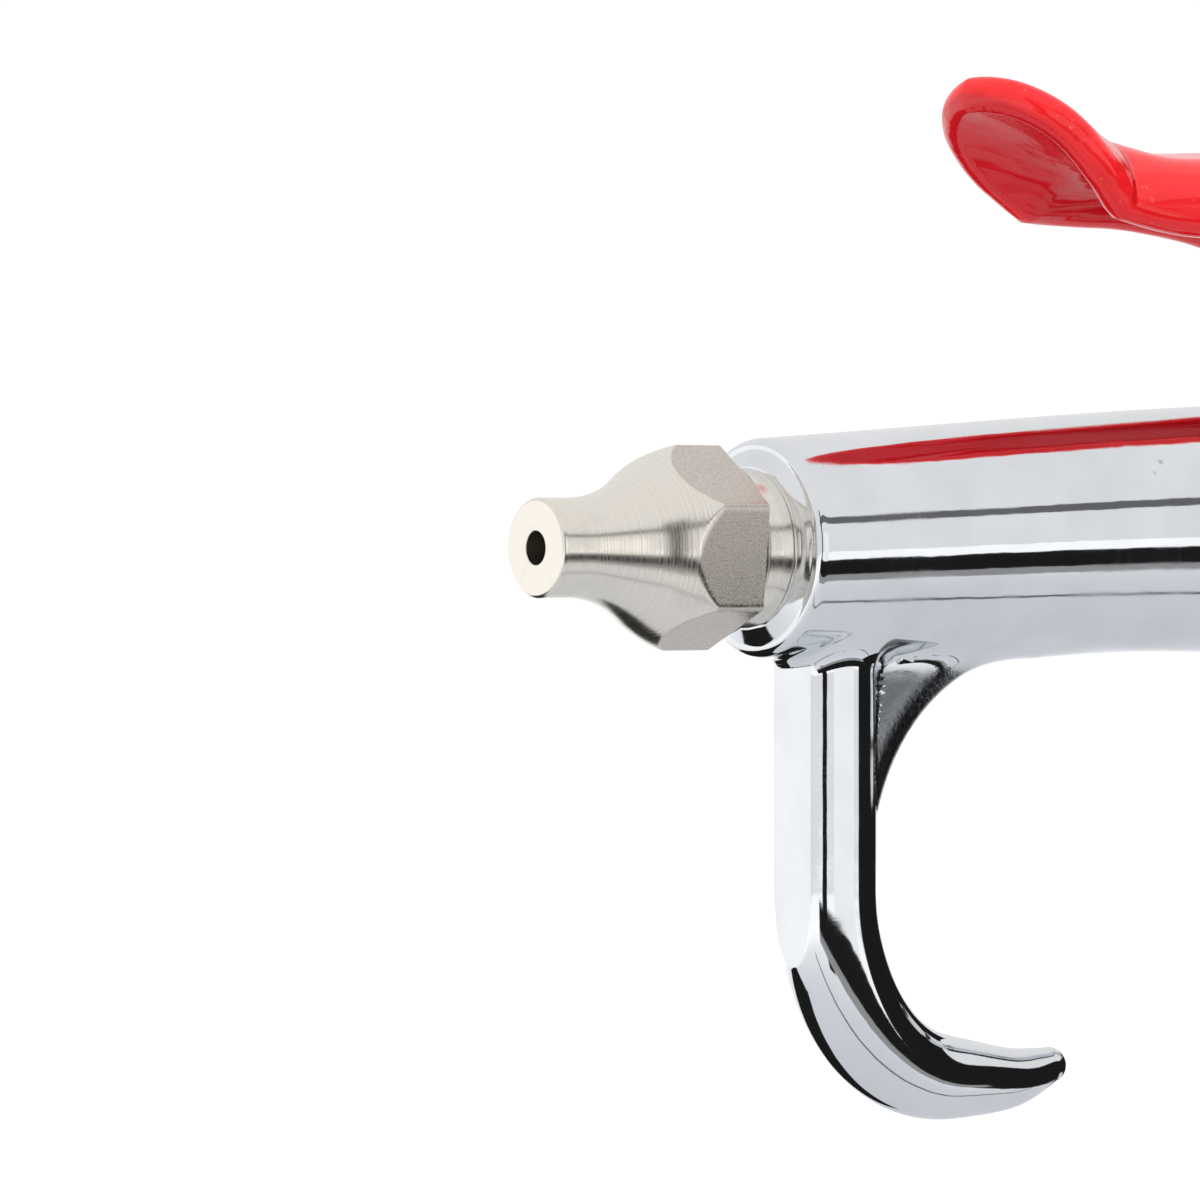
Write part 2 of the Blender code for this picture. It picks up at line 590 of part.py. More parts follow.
# ---------------------------------------------------------------- inlet
def inlet_bush():
    """The hexagon bush that the hose coupling screws into."""
    corner = INLET_FLATS / 2 / cos(pi / 6)
    inner_end = rear_face_x - INLET_THREAD_LENGTH
    outline = [
        (INLET_BORE_RADIUS + INLET_MOUTH_CHAMFER, 0.0), (INLET_FLATS / 2 - 0.0003, 0.0),
        (corner + 0.0001, -0.0009), (corner + 0.0001, -INLET_HEAD_LENGTH + 0.0006),
        (INLET_FLATS / 2 + 0.0002, -INLET_HEAD_LENGTH), (INLET_THREAD_RADIUS, -INLET_HEAD_LENGTH),
        (INLET_THREAD_RADIUS, inner_end), (INLET_PORT_RADIUS, inner_end),
        (INLET_PORT_RADIUS, -INLET_BORE_DEPTH - 0.0010), (INLET_BORE_RADIUS, -INLET_BORE_DEPTH),
        (INLET_BORE_RADIUS, -INLET_MOUTH_CHAMFER),
    ]
    piece = turned("inlet_bush", outline, NICKEL, ALONG_X)
    bar_stock = hexagon("inlet_bar", INLET_FLATS, inner_end - OVERCUT, OVERCUT, ALONG_X)
    return cut(piece, bar_stock, "INTERSECT")


# ---------------------------------------------------------------- valve
def valve_parts():
    """Stem, its guide and seals, seat, poppet, spring and screwed cap, all on one upright axis."""
    axis = (valve_x, 0.0, 0.0)
    corner = GUIDE_FLATS / 2 / cos(pi / 6)
    head_low = BOSS_TOP + SEAT_GAP
    head_high = head_low + GUIDE_HEAD_LENGTH
    guide = turned("stem_guide_nut", [
        (STEM_RADIUS + RUN_GAP, head_high), (GUIDE_FLATS / 2 - 0.0002, head_high),
        (corner + 0.0001, head_high - 0.0005), (corner + 0.0001, head_low),
        (GUIDE_THREAD_RADIUS, head_low), (GUIDE_THREAD_RADIUS, guide_bottom_z),
        (STEM_RADIUS + RUN_GAP, guide_bottom_z),
    ], BRASS, place=axis, steps=FINE_ROUND)
    cut(guide, hexagon(
        "guide_bar", GUIDE_FLATS, guide_bottom_z - OVERCUT, head_high + OVERCUT,
        Matrix.Rotation(pi / 2, 4, "Z"), axis,
    ), "INTERSECT")
    rubber_ring(
        "stem_seal", ring_radius_on_stem, UPRIGHT,
        (valve_x, 0.0, GLAND_FLOOR + SEAT_GAP + RING_SECTION),
    )
    lip_inner = VALVE_PORT_RADIUS + 0.0002
    seat_low = seat_top_z - SEAT_THICKNESS
    turned("valve_seat", [
        (VALVE_PORT_RADIUS, seat_top_z), (CHAMBER_RADIUS - SEAT_GAP, seat_top_z),
        (CHAMBER_RADIUS - SEAT_GAP, seat_low), (lip_inner + SEAT_LIP_WIDTH, seat_low),
        (lip_inner + SEAT_LIP_WIDTH, seat_low - SEAT_LIP_RISE), (lip_inner, seat_low - SEAT_LIP_RISE),
        (VALVE_PORT_RADIUS, seat_low),
    ], BRASS, place=axis)
    tail_hole = STEM_TAIL_RADIUS + SEAT_GAP
    ring("valve_seal", tail_hole, POPPET_RADIUS, seal_top_z - SEAL_THICKNESS, seal_top_z,
         BLACK_RUBBER, place=axis, steps=FINE_ROUND)
    ring("valve_poppet", tail_hole, POPPET_RADIUS, poppet_top_z - POPPET_THICKNESS, poppet_top_z,
         BRASS, place=axis, steps=FINE_ROUND)
    nut_low = nut_top_z - POPPET_NUT_LENGTH
    nut = ring("poppet_nut", tail_hole, POPPET_NUT_FLATS, nut_low, nut_top_z, STEEL, place=axis,
               steps=FINE_ROUND)
    cut(nut, hexagon("poppet_nut_bar", POPPET_NUT_FLATS, nut_low - OVERCUT, nut_top_z + OVERCUT,
                     place=axis), "INTERSECT")
    stem_parts(nut_low - STEM_TAIL_END)
    spring_high = poppet_top_z - POPPET_THICKNESS - SEAT_GAP
    valve_spring(cap_floor_z + SEAT_GAP, spring_high)
    valve_cap()


def stem_top():
    """Height of the stem's tip: a seating gap under the lever's web, which slopes over it."""
    under = web_height(HINGE_BEHIND_VALVE) - LEVER_SHEET / 2 / cos(web_slope(HINGE_BEHIND_VALVE))
    clear = (STEM_DOME_RADIUS + SEAT_GAP) / cos(web_slope(HINGE_BEHIND_VALVE)) - STEM_DOME_RADIUS
    return under - clear


def stem_parts(low):
    """The steel stem, with a domed top and a thinner tail that carries the poppet."""
    high = stem_top()
    dome_angle = atan(STEM_RADIUS / STEM_DOME_RADIUS)
    outline = [
        (STEM_DOME_RADIUS * sin(dome_angle * k / 4), high - STEM_DOME_RADIUS * (1 - cos(dome_angle * k / 4)))
        for k in range(5)
    ]
    outline += [
        (STEM_RADIUS, outline[-1][1] - 0.0001), (STEM_RADIUS, seal_top_z + SEAT_GAP),
        (STEM_TAIL_RADIUS, seal_top_z + SEAT_GAP), (STEM_TAIL_RADIUS, low), (0.0, low),
    ]
    return turned("valve_stem", outline, STEEL, place=(valve_x, 0.0, 0.0), steps=FINE_ROUND)


def valve_spring(low, high):
    """The return spring, a closed coil of round wire."""
    turns, per_turn = SPRING_TURNS, 12
    low_wire, high_wire = low + SPRING_WIRE_RADIUS, high - SPRING_WIRE_RADIUS
    curve = bpy.data.curves.new("valve_spring", "CURVE")
    curve.dimensions = "3D"
    curve.bevel_depth = SPRING_WIRE_RADIUS
    curve.bevel_resolution = 2
    curve.use_fill_caps = True
    line = curve.splines.new("POLY")
    total = turns * per_turn
    line.points.add(total)
    for index, point in enumerate(line.points):
        angle = 2 * pi * index / per_turn
        point.co = (
            SPRING_RADIUS * cos(angle), SPRING_RADIUS * sin(angle),
            low_wire + (high_wire - low_wire) * index / total, 1.0,
        )
    return curve_to_mesh("valve_spring", curve, Matrix.Translation((valve_x, 0.0, 0.0)), STEEL)


def valve_cap():
    """The hexagon cap that closes the valve chamber, and its washer."""
    axis = (valve_x, 0.0, 0.0)
    corner = CAP_FLATS / 2 / cos(pi / 6)
    thread = CHAMBER_RADIUS - SEAT_GAP
    thread_top = CHAMBER_BOSS_BOTTOM + CAP_THREAD_LENGTH
    cap = turned("valve_cap", [
        (CAP_INNER_RADIUS, thread_top), (thread, thread_top), (thread, cap_head_top_z),
        (corner + 0.0001, cap_head_top_z), (corner + 0.0001, cap_bottom_z + 0.0007),
        (CAP_FLATS / 2 - 0.0004, cap_bottom_z), (0.0, cap_bottom_z), (0.0, cap_floor_z),
        (CAP_INNER_RADIUS, cap_floor_z),
    ], NICKEL, place=axis)
    cut(cap, hexagon("cap_bar", CAP_FLATS, cap_bottom_z - OVERCUT, thread_top + OVERCUT, place=axis),
        "INTERSECT")
    ring("cap_washer", CHAMBER_RADIUS, CAP_FLATS / 2 + 0.0010, cap_head_top_z + SEAT_GAP,
         CHAMBER_BOSS_BOTTOM - SEAT_GAP, BLACK_RUBBER, place=axis)


# ---------------------------------------------------------------- lever
# The web's middle surface: distance ahead of the hinge, height above the hinge.
LEVER_RUN = LEVER_TIP - HINGE_BEHIND_VALVE
WEB_LINE = [
    (-LEVER_TAIL, 0.0046), (0.0, 0.0057), (0.48 * HINGE_BEHIND_VALVE, 0.0078),
    (HINGE_BEHIND_VALVE, 0.0103),
] + [(HINGE_BEHIND_VALVE + share * LEVER_RUN, height) for share, height in (
    (0.2611, 0.0137), (0.4147, 0.0151), (0.5376, 0.0156), (0.6452, 0.0153), (0.7312, 0.0152),
    (0.7942, 0.0160), (0.8571, 0.0174), (0.9217, 0.0192), (0.9677, 0.0202), (1.0, 0.0207),
)]
# Half width of the flat blank: distance ahead of the hinge, half width.
BLANK_LINE = [
    (-LEVER_TAIL, 0.0120), (0.0, 0.0128), (HINGE_BEHIND_VALVE, 0.0126),
] + [(HINGE_BEHIND_VALVE + share * LEVER_RUN, half_width) for share, half_width in (
    (0.2611, 0.0124), (0.4147, 0.0117), (0.5376, 0.0105), (0.6452, 0.0092), (0.7312, 0.0086),
    (0.7942, 0.0083), (0.8571, 0.0079), (1.0, 0.0079),
)]
TAIL_CORNER = 0.0030         # radius of the corners at the blank's rear
NOSE_START = radians(18.0)   # how far round its ellipse the nose's first row stands
LEVER_ROW_PITCH = 0.0055


def web_height(ahead):
    """Height of the web's middle surface, `ahead` of the hinge."""
    return HINGE_HEIGHT + through(WEB_LINE, ahead)


def web_slope(ahead):
    """Slope of the web, as an angle, in the direction of the tip."""
    step = 0.0005
    return atan2(web_height(ahead + step) - web_height(ahead - step), 2 * step)


def blank_half_width(ahead, edge):
    """Half width of the flat blank with its outline moved out by `edge`, rounded at the nose."""
    nose = LEVER_NOSE + edge
    from_tip = LEVER_TIP + edge - ahead
    fade = min(1.0, from_tip / nose)
    tail = min(1.0, max(0.0, (ahead + LEVER_TAIL) / TAIL_CORNER))
    full = through(BLANK_LINE, ahead) + edge - TAIL_CORNER * (1 - (1 - (1 - tail) ** 2) ** 0.5)
    return full * (1 - (1 - fade) ** 2) ** 0.5


def lever_sheet(name, edge, thickness, rear, look=None):
    """The pressed lever as a bent blank: a grid over its middle surface, thickened both ways."""
    rows, halves = [], 8
    nose = LEVER_NOSE + edge
    for step in range(8):
        angle = NOSE_START + (pi / 2 - NOSE_START) * step / 8
        rows.append(LEVER_TIP + edge - nose * (1 - cos(angle)))
    last = LEVER_TIP - LEVER_NOSE
    length = last - rear
    count = max(4, round(length / LEVER_ROW_PITCH))
    rows += [last - length * step / count for step in range(count + 1)]
    points, faces = [], []
    for ahead in rows:
        slope = web_slope(ahead)
        spoon = min(1.0, max(0.0, (ahead - LEVER_TIP + SPOON_BEFORE_TIP) / SPOON_RUN))
        corner = LEVER_CORNER + (LEVER_SPOON_CORNER - LEVER_CORNER) * spoon**2 * (3 - 2 * spoon)
        flat = LEVER_HALF_WIDTH - corner
        half = blank_half_width(ahead, edge)
        settled = min(1.0, max(0.0, (ahead - HINGE_BEHIND_VALVE) / (LEVER_TIP - HINGE_BEHIND_VALVE) * 2))
        lean = LEVER_LEAN * settled**2 * (3 - 2 * settled)
        for side in range(-halves, halves + 1):
            along = half * side / halves
            bent = min(max(abs(along) - flat, 0.0), corner * pi / 2)
            across = min(abs(along), flat) + corner * sin(bent / corner)
            down = corner * (1 - cos(bent / corner)) + max(0.0, abs(along) - flat - corner * pi / 2)
            across = across if along >= 0 else -across
            across, down = across * cos(lean) + down * sin(lean), down * cos(lean) - across * sin(lean)
            points.append((
                hinge_x - ahead - down * sin(slope), across, web_height(ahead) - down * cos(slope)
            ))
    width = 2 * halves + 1
    for row in range(len(rows) - 1):
        for side in range(width - 1):
            corner_index = row * width + side
            faces.append((corner_index, corner_index + width, corner_index + width + 1, corner_index + 1))
    mesh = bpy.data.meshes.new(name)
    mesh.from_pydata(points, [], faces)
    smooth(mesh)
    item = add(name, mesh, look)
    wall = item.modifiers.new("sheet", "SOLIDIFY")
    wall.thickness = thickness
    wall.offset = 0.0
    wall.use_even_offset = True
    return item


def lever():
    """The pressed steel lever and the red coat that it was dipped in."""
    arm = lever_sheet("lever_arm", 0.0, LEVER_SHEET, -LEVER_TAIL, STEEL)
    reach = LEVER_HALF_WIDTH + LEVER_SHEET
    cut(arm, rod("arm_hole", PIN_RADIUS + RUN_GAP, -reach, reach, turn=ALONG_Y,
                 place=(hinge_x, 0.0, HINGE_HEIGHT)))
    coat = SEAT_GAP + GRIP_WALL
    dip_line = HINGE_BEHIND_VALVE + DIP_AHEAD_OF_VALVE
    grip = lever_sheet("lever_grip", coat, LEVER_SHEET + 2 * coat, dip_line, RED_COAT)
    cut(grip, lever_sheet("grip_core", SEAT_GAP, LEVER_SHEET + 2 * SEAT_GAP, dip_line - OVERCUT))
    return arm, grip


def hinge():
    """The headed pin, its clip and the two washers beside the lug."""
    place = (hinge_x, 0.0, HINGE_HEIGHT)
    flange = LEVER_HALF_WIDTH + LEVER_SHEET / 2
    head = -flange - SEAT_GAP
    clip_low = flange + SEAT_GAP
    clip_high = clip_low + CLIP_THICKNESS
    turned("hinge_pin", [
        (0.0, clip_high + 0.0012), (PIN_RADIUS - 0.0003, clip_high + 0.0012),
        (PIN_RADIUS, clip_high + 0.0009), (PIN_RADIUS, clip_high + SEAT_GAP),
        (PIN_GROOVE_RADIUS, clip_high + SEAT_GAP), (PIN_GROOVE_RADIUS, clip_low - SEAT_GAP / 2),
        (PIN_RADIUS, clip_low - SEAT_GAP / 2), (PIN_RADIUS, head), (PIN_HEAD_RADIUS, head),
        (PIN_HEAD_RADIUS, head - 0.6 * PIN_HEAD_THICKNESS),
        (0.75 * PIN_HEAD_RADIUS, head - PIN_HEAD_THICKNESS), (0.0, head - PIN_HEAD_THICKNESS),
    ], STEEL, ALONG_Y, place, FINE_ROUND)
    inner, sides = PIN_GROOVE_RADIUS + SEAT_GAP / 2, 20
    opening = radians(50.0)
    angles = [opening + (2 * pi - 2 * opening) * k / sides for k in range(sides + 1)]
    outline = [(CLIP_RADIUS * cos(a), CLIP_RADIUS * sin(a)) for a in angles]
    outline += [(inner * cos(a), inner * sin(a)) for a in reversed(angles)]
    clip_place = Matrix.Translation((hinge_x, (clip_low + clip_high) / 2, HINGE_HEIGHT)) @ ALONG_Y
    plate("pin_clip", outline, CLIP_THICKNESS / 2, clip_place, STEEL)
    inner_face = LEVER_HALF_WIDTH - LEVER_SHEET / 2 - SEAT_GAP
    for name, side in (("hinge_washer_left", 1.0), ("hinge_washer_right", -1.0)):
        low, high = sorted((side * inner_face, side * (inner_face - HINGE_WASHER_THICKNESS)))
        ring(name, PIN_RADIUS + SEAT_GAP, HINGE_WASHER_RADIUS, low, high, WHITE_PLASTIC, ALONG_Y,
             place, FINE_ROUND)


# ---------------------------------------------------------------- assembly
body_casting()
nozzle()
rubber_ring(
    "nozzle_seal", NECK_RADIUS + SEAT_GAP + RING_SECTION, ALONG_X,
    (front_x - FRONT_LIP_RISE + SEAT_GAP + RING_SECTION, 0.0, 0.0),
)
inlet_bush()
ring("inlet_washer", INLET_THREAD_RADIUS + SEAT_GAP, REAR_RADIUS - 0.0008, rear_face_x + SEAT_GAP,
     rear_face_x + SEAT_GAP + WASHER_THICKNESS, BLACK_RUBBER, ALONG_X)
valve_parts()
lever()
hinge()
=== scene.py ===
"""The finished looks of an air blow gun with a hanging hook and a dipped squeeze lever.

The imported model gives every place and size. The gun lies along X with its nozzle towards -X and its
lever above it. Each section below makes one piece, in the order in which the gun is put together.
"""

from math import cos, pi, radians, sin

import bmesh
import bpy
import numpy as np
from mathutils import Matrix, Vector


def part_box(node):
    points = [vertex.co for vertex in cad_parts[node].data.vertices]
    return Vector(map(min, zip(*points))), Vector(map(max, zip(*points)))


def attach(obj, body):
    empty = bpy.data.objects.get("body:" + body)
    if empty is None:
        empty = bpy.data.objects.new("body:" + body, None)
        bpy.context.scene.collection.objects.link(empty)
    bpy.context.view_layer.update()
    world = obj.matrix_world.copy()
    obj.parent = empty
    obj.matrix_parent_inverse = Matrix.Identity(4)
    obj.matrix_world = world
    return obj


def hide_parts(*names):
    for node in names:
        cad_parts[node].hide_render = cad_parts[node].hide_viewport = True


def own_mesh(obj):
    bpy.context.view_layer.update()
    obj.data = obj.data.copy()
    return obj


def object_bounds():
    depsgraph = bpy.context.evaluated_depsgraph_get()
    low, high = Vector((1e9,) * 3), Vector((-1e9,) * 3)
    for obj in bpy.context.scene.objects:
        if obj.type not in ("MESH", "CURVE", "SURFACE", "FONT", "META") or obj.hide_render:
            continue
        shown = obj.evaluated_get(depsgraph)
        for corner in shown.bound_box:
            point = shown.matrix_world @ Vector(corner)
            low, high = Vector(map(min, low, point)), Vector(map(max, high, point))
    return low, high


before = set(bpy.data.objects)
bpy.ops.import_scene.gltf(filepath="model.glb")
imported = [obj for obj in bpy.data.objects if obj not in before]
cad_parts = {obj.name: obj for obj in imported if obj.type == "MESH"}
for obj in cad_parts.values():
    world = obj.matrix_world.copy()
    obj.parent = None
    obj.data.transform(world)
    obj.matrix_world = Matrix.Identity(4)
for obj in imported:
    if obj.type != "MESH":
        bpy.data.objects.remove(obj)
model_low, model_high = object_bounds()

# ---------------------------------------------------------------- camera, floor and studio
# A long lens looks level at the nozzle from its near side. The room is a white tent over a pale
# floor, and black flags stand in the tent so that the plated metal has something dark to reflect.

SUBJECT = Vector((-0.1360, 0.0, 0.0))     # the middle of the casting's front face
VIEW_AZIMUTH = radians(-37.0)
VIEW_DISTANCE = 0.480
LENS = 184.3                              # millimetres, on a 36 mm sensor
PAN = radians(1.4125)                     # the gun stands right of the frame's middle
TILT = radians(-0.485)                    # and a little above it
FLOOR_BELOW = 0.30                        # from the lowest point of the hanging gun to the floor
FLOOR_SIZE = 9.0

camera_data = bpy.data.cameras.new("camera")
camera_data.lens = LENS
camera_data.sensor_width = 36.0
camera = bpy.data.objects.new("camera", camera_data)
bpy.context.scene.collection.objects.link(camera)
towards_camera = Vector((sin(VIEW_AZIMUTH), -cos(VIEW_AZIMUTH), 0.0))
camera.location = SUBJECT + VIEW_DISTANCE * towards_camera
camera.rotation_euler = (pi / 2 + TILT, 0.0, VIEW_AZIMUTH + PAN)
bpy.context.scene.camera = camera
bpy.context.scene.view_settings.view_transform = "Standard"


class Nodes:
    """A material's or group's node tree, filled in by short calls."""

    def __init__(self, tree):
        self.tree = tree
        self.tree.nodes.clear()

    def add(self, kind, inputs=None, **settings):
        """A new node with its settings, and each input set to a value or linked to a socket."""
        node = self.tree.nodes.new(kind)
        for key, value in settings.items():
            setattr(node, key, value)
        for key, value in (inputs or {}).items():
            if isinstance(value, bpy.types.NodeSocket):
                self.tree.links.new(value, node.inputs[key])
            else:
                node.inputs[key].default_value = value
        return node

    def maths(self, operation, first, second=0.0, third=0.0):
        """The result of one Math node."""
        node = self.add("ShaderNodeMath", {0: first, 1: second, 2: third}, operation=operation)
        return node.outputs[0]

    def blend(self, factor, first, second):
        """A colour between two colours."""
        node = self.add("ShaderNodeMix", {"Factor": factor}, data_type="RGBA")
        for socket, value in ((node.inputs[6], first), (node.inputs[7], second)):
            if isinstance(value, bpy.types.NodeSocket):
                self.tree.links.new(value, socket)
            else:
                socket.default_value = (*value, 1.0)
        return node.outputs[2]

    def between(self, value, low, high, out_low=0.0, out_high=1.0):
        """A value eased from one range to another."""
        node = self.add(
            "ShaderNodeMapRange",
            {"Value": value, "From Min": low, "From Max": high, "To Min": out_low, "To Max": out_high},
            interpolation_type="SMOOTHSTEP",
        )
        return node.outputs["Result"]

    def place(self):
        """The place on the piece itself."""
        return self.add("ShaderNodeTexCoord").outputs["Object"]

    def noise(self, place, scale, detail, roughness=0.5):
        """Cloudy noise over a place."""
        return self.add("ShaderNodeTexNoise", {
            "Vector": place, "Scale": scale, "Detail": detail, "Roughness": roughness}).outputs[0]

    def bump(self, height, distance, normal=None, strength=1.0):
        """The normal over a relief, on top of another normal where one is given."""
        inputs = {"Height": height, "Distance": distance, "Strength": strength}
        if normal:
            inputs["Normal"] = normal
        return self.add("ShaderNodeBump", inputs).outputs[0]

    def surface(self, kind, inputs):
        """A shader with its inputs, joined to the material's output."""
        shader = self.add(kind, inputs)
        self.add("ShaderNodeOutputMaterial", {"Surface": shader.outputs[0]})


def material_called(name):
    """A new material and its empty node tree."""
    material = bpy.data.materials.new(name)
    material.use_nodes = True
    return material, Nodes(material.node_tree)


world = bpy.data.worlds.new("white_tent")
world.use_nodes = True
bpy.context.scene.world = world
tent = Nodes(world.node_tree)
seen = tent.add("ShaderNodeLightPath").outputs["Is Camera Ray"]
strength = tent.maths("MULTIPLY_ADD", seen, 0.22, 0.82)
tent_light = tent.add("ShaderNodeBackground", {"Color": (1.0, 1.0, 1.0, 1.0), "Strength": strength})
tent.add("ShaderNodeOutputWorld", {"Surface": tent_light.outputs[0]})


def floor_shade_and_glow():
    """Painted shade and glow: pale grey near the gun, paler and then glowing away from it, following the
    distance from the middle.
    """
    material, nodes = material_called("floor_shade_and_glow")
    place = nodes.place()
    away = nodes.add("ShaderNodeVectorMath", {0: place}, operation="LENGTH").outputs["Value"]
    # Painted shade: the floor is grey near the gun.
    colour = nodes.blend(nodes.between(away, 0.25, 1.5), (0.62, 0.64, 0.67), (1.0, 1.0, 1.0))
    # Painted light: the floor glows away from the gun, so that the far floor is white.
    nodes.surface("ShaderNodeBsdfPrincipled", {
        "Base Color": colour, "Roughness": 0.9, "Emission Color": (1.0, 1.0, 1.0, 1.0),
        "Emission Strength": nodes.between(away, 0.5, 1.6, 0.0, 0.30)})
    return material


def card(name, centre, along, across, material):
    """A flat card in the studio: centre plus and minus half of each of its two edges."""
    centre, along, across = (Vector(v) for v in (centre, along, across))
    corners = [centre + s * along / 2 + t * across / 2 for s, t in ((-1, -1), (1, -1), (1, 1), (-1, 1))]
    mesh = bpy.data.meshes.new(name)
    mesh.from_pydata(corners, [], [(0, 1, 2, 3)])
    mesh.materials.append(material)
    piece = bpy.data.objects.new(name, mesh)
    bpy.context.scene.collection.objects.link(piece)
    return piece


def glow(name, strength):
    """Plain light of one strength, or black."""
    material, nodes = material_called(name)
    nodes.surface("ShaderNodeEmission", {"Color": (1.0, 1.0, 1.0, 1.0), "Strength": strength})
    return material


floor_z = model_low[2] - FLOOR_BELOW
card("floor", (0.0, 0.0, floor_z), (FLOOR_SIZE, 0, 0), (0, FLOOR_SIZE, 0), floor_shade_and_glow())

black_felt = glow("black_felt", 0.012)
grey_felt = glow("grey_felt", 0.14)
dim_felt = glow("dim_felt", 0.30)
diffuser = glow("diffuser", 0.98)
front_diffuser = glow("front_diffuser", 1.04)
FLAGS = [
    # name, centre, one edge, the other edge, cover
    ("thin_rail", (0.10, -0.50, 0.262), (1.60, 0, 0), (0, 0.020, 0.066), grey_felt),
    ("table_edge", (0.10, -0.43, -0.162), (1.60, 0, 0), (0, 0.040, -0.130), black_felt),
    ("table_cloth", (0.10, -0.40, -0.235), (1.60, 0, 0), (0, 0.020, -0.050), dim_felt),
    ("lower_rail", (0.10, -0.19, -0.300), (1.60, 0, 0), (0, 0.018, 0.0), grey_felt),
    ("camera_cloth", (-0.52, -0.48, -0.02), (0.085, -0.065, 0), (0, 0, 0.80), black_felt),
    ("rear_cloth", (-0.22, 0.33, -0.27), (0.50, 0, 0), (-0.02, -0.19, -0.13), black_felt),
    ("side_cloth", (0.46, -0.15, -0.04), (0.0, 0.98, 0), (0, 0, 0.52), black_felt),
    ("key_box", (-0.05, -0.66, 0.02), (0.60, 0.0, 0), (0, 0, 0.30), diffuser),
    ("front_box", (-0.45, 0.46, 0.02), (0.34, 0.30, 0), (0, 0, 0.40), front_diffuser),
]
for flag_name, middle, edge_one, edge_two, cover in FLAGS:
    flag = card(flag_name, middle, edge_one, edge_two, cover)
    flag.visible_camera = False
    flag.visible_shadow = False
    flag.visible_diffuse = False

key_light = bpy.data.lights.new("overhead_light", "AREA")
key_light.shape = "RECTANGLE"
key_light.size, key_light.size_y = 0.9, 0.6
key_light.energy = 4.0
overhead = bpy.data.objects.new("overhead_light", key_light)
overhead.location = (-0.25, -0.35, 0.95)
overhead.rotation_euler = (-Vector(overhead.location)).to_track_quat("-Z", "Y").to_euler()
overhead.visible_camera = False
overhead.visible_glossy = False
bpy.context.scene.collection.objects.link(overhead)

# ---------------------------------------------------------------- chrome-plated zinc casting
# The body is die-cast zinc, polished and chrome plated. It has a barrel that widens to the rear, a
# hanging hook with a web and a bead, a guide boss, a valve chamber and a hinge lug, all one metal.

FRONT_RADIUS = 0.0086
FRONT_RIM_ROUND = 0.0008
FRONT_LIP_RISE = 0.00065
TOP_RISE = 0.0030
GRIP_TOP_FROM_FRONT = 0.0445
GRIP_HALF_WIDTH = 0.0108
REAR_RADIUS = 0.0118
REAR_EDGE_ROUND = 0.0005
COLLAR_RADIUS = 0.00625
FRONT_BORE_RADIUS = 0.0057
REAR_BORE_RADIUS = 0.0082
BORE_DEPTH = 0.0020
VALVE_FROM_FRONT = 0.0870
HOOK_BAR_RADIUS = 0.00403
HOOK_SETBACK = 0.0071
HOOK_DROP = 0.0424
HOOK_REACH = 0.0125
HOOK_STRAIGHT_END = 0.0270
HOOK_TIP_LENGTH = 0.0122
HOOK_TIP_RADIUS = 0.0015
HOOK_FLAT_DEPTH = 0.00078
HOOK_FLAT_TOP = -FRONT_RADIUS - 0.0006
HOOK_PATH_PASSES = 150                    # how often the bend's path is evened out
HOOK_EVEN_START = 0.0020                  # where that begins, past the straight,
HOOK_EVEN_RUN = 0.0060                    # and over what length it comes in
WEB_HALF_THICKNESS = 0.0017
WEB_TOP = -0.0088
WEB_RAY_PLAIN = 0.0008                    # rays to the web's faces reach at least half of this
WEB_RAY_SPARE = 0.0015                    # and at most this and the last
BEAD_RADIUS = 0.0026
BEAD_ROOT_RADIUS = 0.0038
BEAD_REACH = 0.0205
BEAD_RUN_OUT = 0.14                       # how fast the bead sinks into the barrel past its end
BARREL_FILLET = 0.0018                    # cast fillets where one form grows out of another
WEB_FILLET = 0.0014
RECESS_FADE_LOW = 0.0100                  # the cast roughness and the painted shade come in over these lengths, from the bead's low end and from the barrel
RECESS_FADE_TOP = 0.0020                  # bead's low end and from the barrel
GUIDE_BOSS_RADIUS = 0.0051
GUIDE_BOSS_TOP = 0.0155
CHAMBER_BOSS_RADIUS = 0.0100
CHAMBER_BOSS_BOTTOM = -0.0170
BOSS_EDGE_ROUND = 0.0005
LUG_RADIUS = 0.0042
LUG_HALF = 0.0043
LUG_EDGE_ROUND = 0.0005
LUG_FOOT = 0.0030                         # the lug's foot and the bosses' roots, hidden in the barrel
BOSS_ROOT = 0.0040
SKIN_SPARE = 0.0009                       # how far past its own radius a form follows a fillet
SKIN_SINK = 0.00004                       # how far a form sinks where another takes over
SKIN_HALVINGS = 20
MERGE = 1e-7


def box_of(node):
    """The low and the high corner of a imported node's box."""
    return tuple(np.array(corner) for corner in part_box(node))


casting_low, casting_high = box_of("body_casting")
front_x = casting_low[0] + FRONT_LIP_RISE
rear_x = casting_high[0]
valve_x = front_x + VALVE_FROM_FRONT
stem_x = front_x + HOOK_SETBACK
pin_low, pin_high = box_of("hinge_pin")
hinge_x, hinge_z = (pin_low[0] + pin_high[0]) / 2, (pin_low[2] + pin_high[2]) / 2
bead_centre_x = stem_x + BEAD_REACH
bead_centre_z = -HOOK_STRAIGHT_END
bead_rise = HOOK_STRAIGHT_END - FRONT_RADIUS + BEAD_RADIUS
middle_top = FRONT_RADIUS + TOP_RISE
BARREL_STATIONS = np.array([
    # back from the front rim, top, bottom, half width
    (FRONT_RIM_ROUND, FRONT_RADIUS, FRONT_RADIUS, FRONT_RADIUS),
    (GRIP_TOP_FROM_FRONT, middle_top, FRONT_RADIUS + 0.0001, 0.5 * (middle_top + FRONT_RADIUS) - 0.0002),
    (VALVE_FROM_FRONT - 0.0150, middle_top + 0.0008, FRONT_RADIUS + 0.0015, GRIP_HALF_WIDTH),
    (VALVE_FROM_FRONT + 0.0050, middle_top + 0.0006, REAR_RADIUS - 0.0005, 0.0115),
    (rear_x - front_x, REAR_RADIUS, REAR_RADIUS, REAR_RADIUS),
])


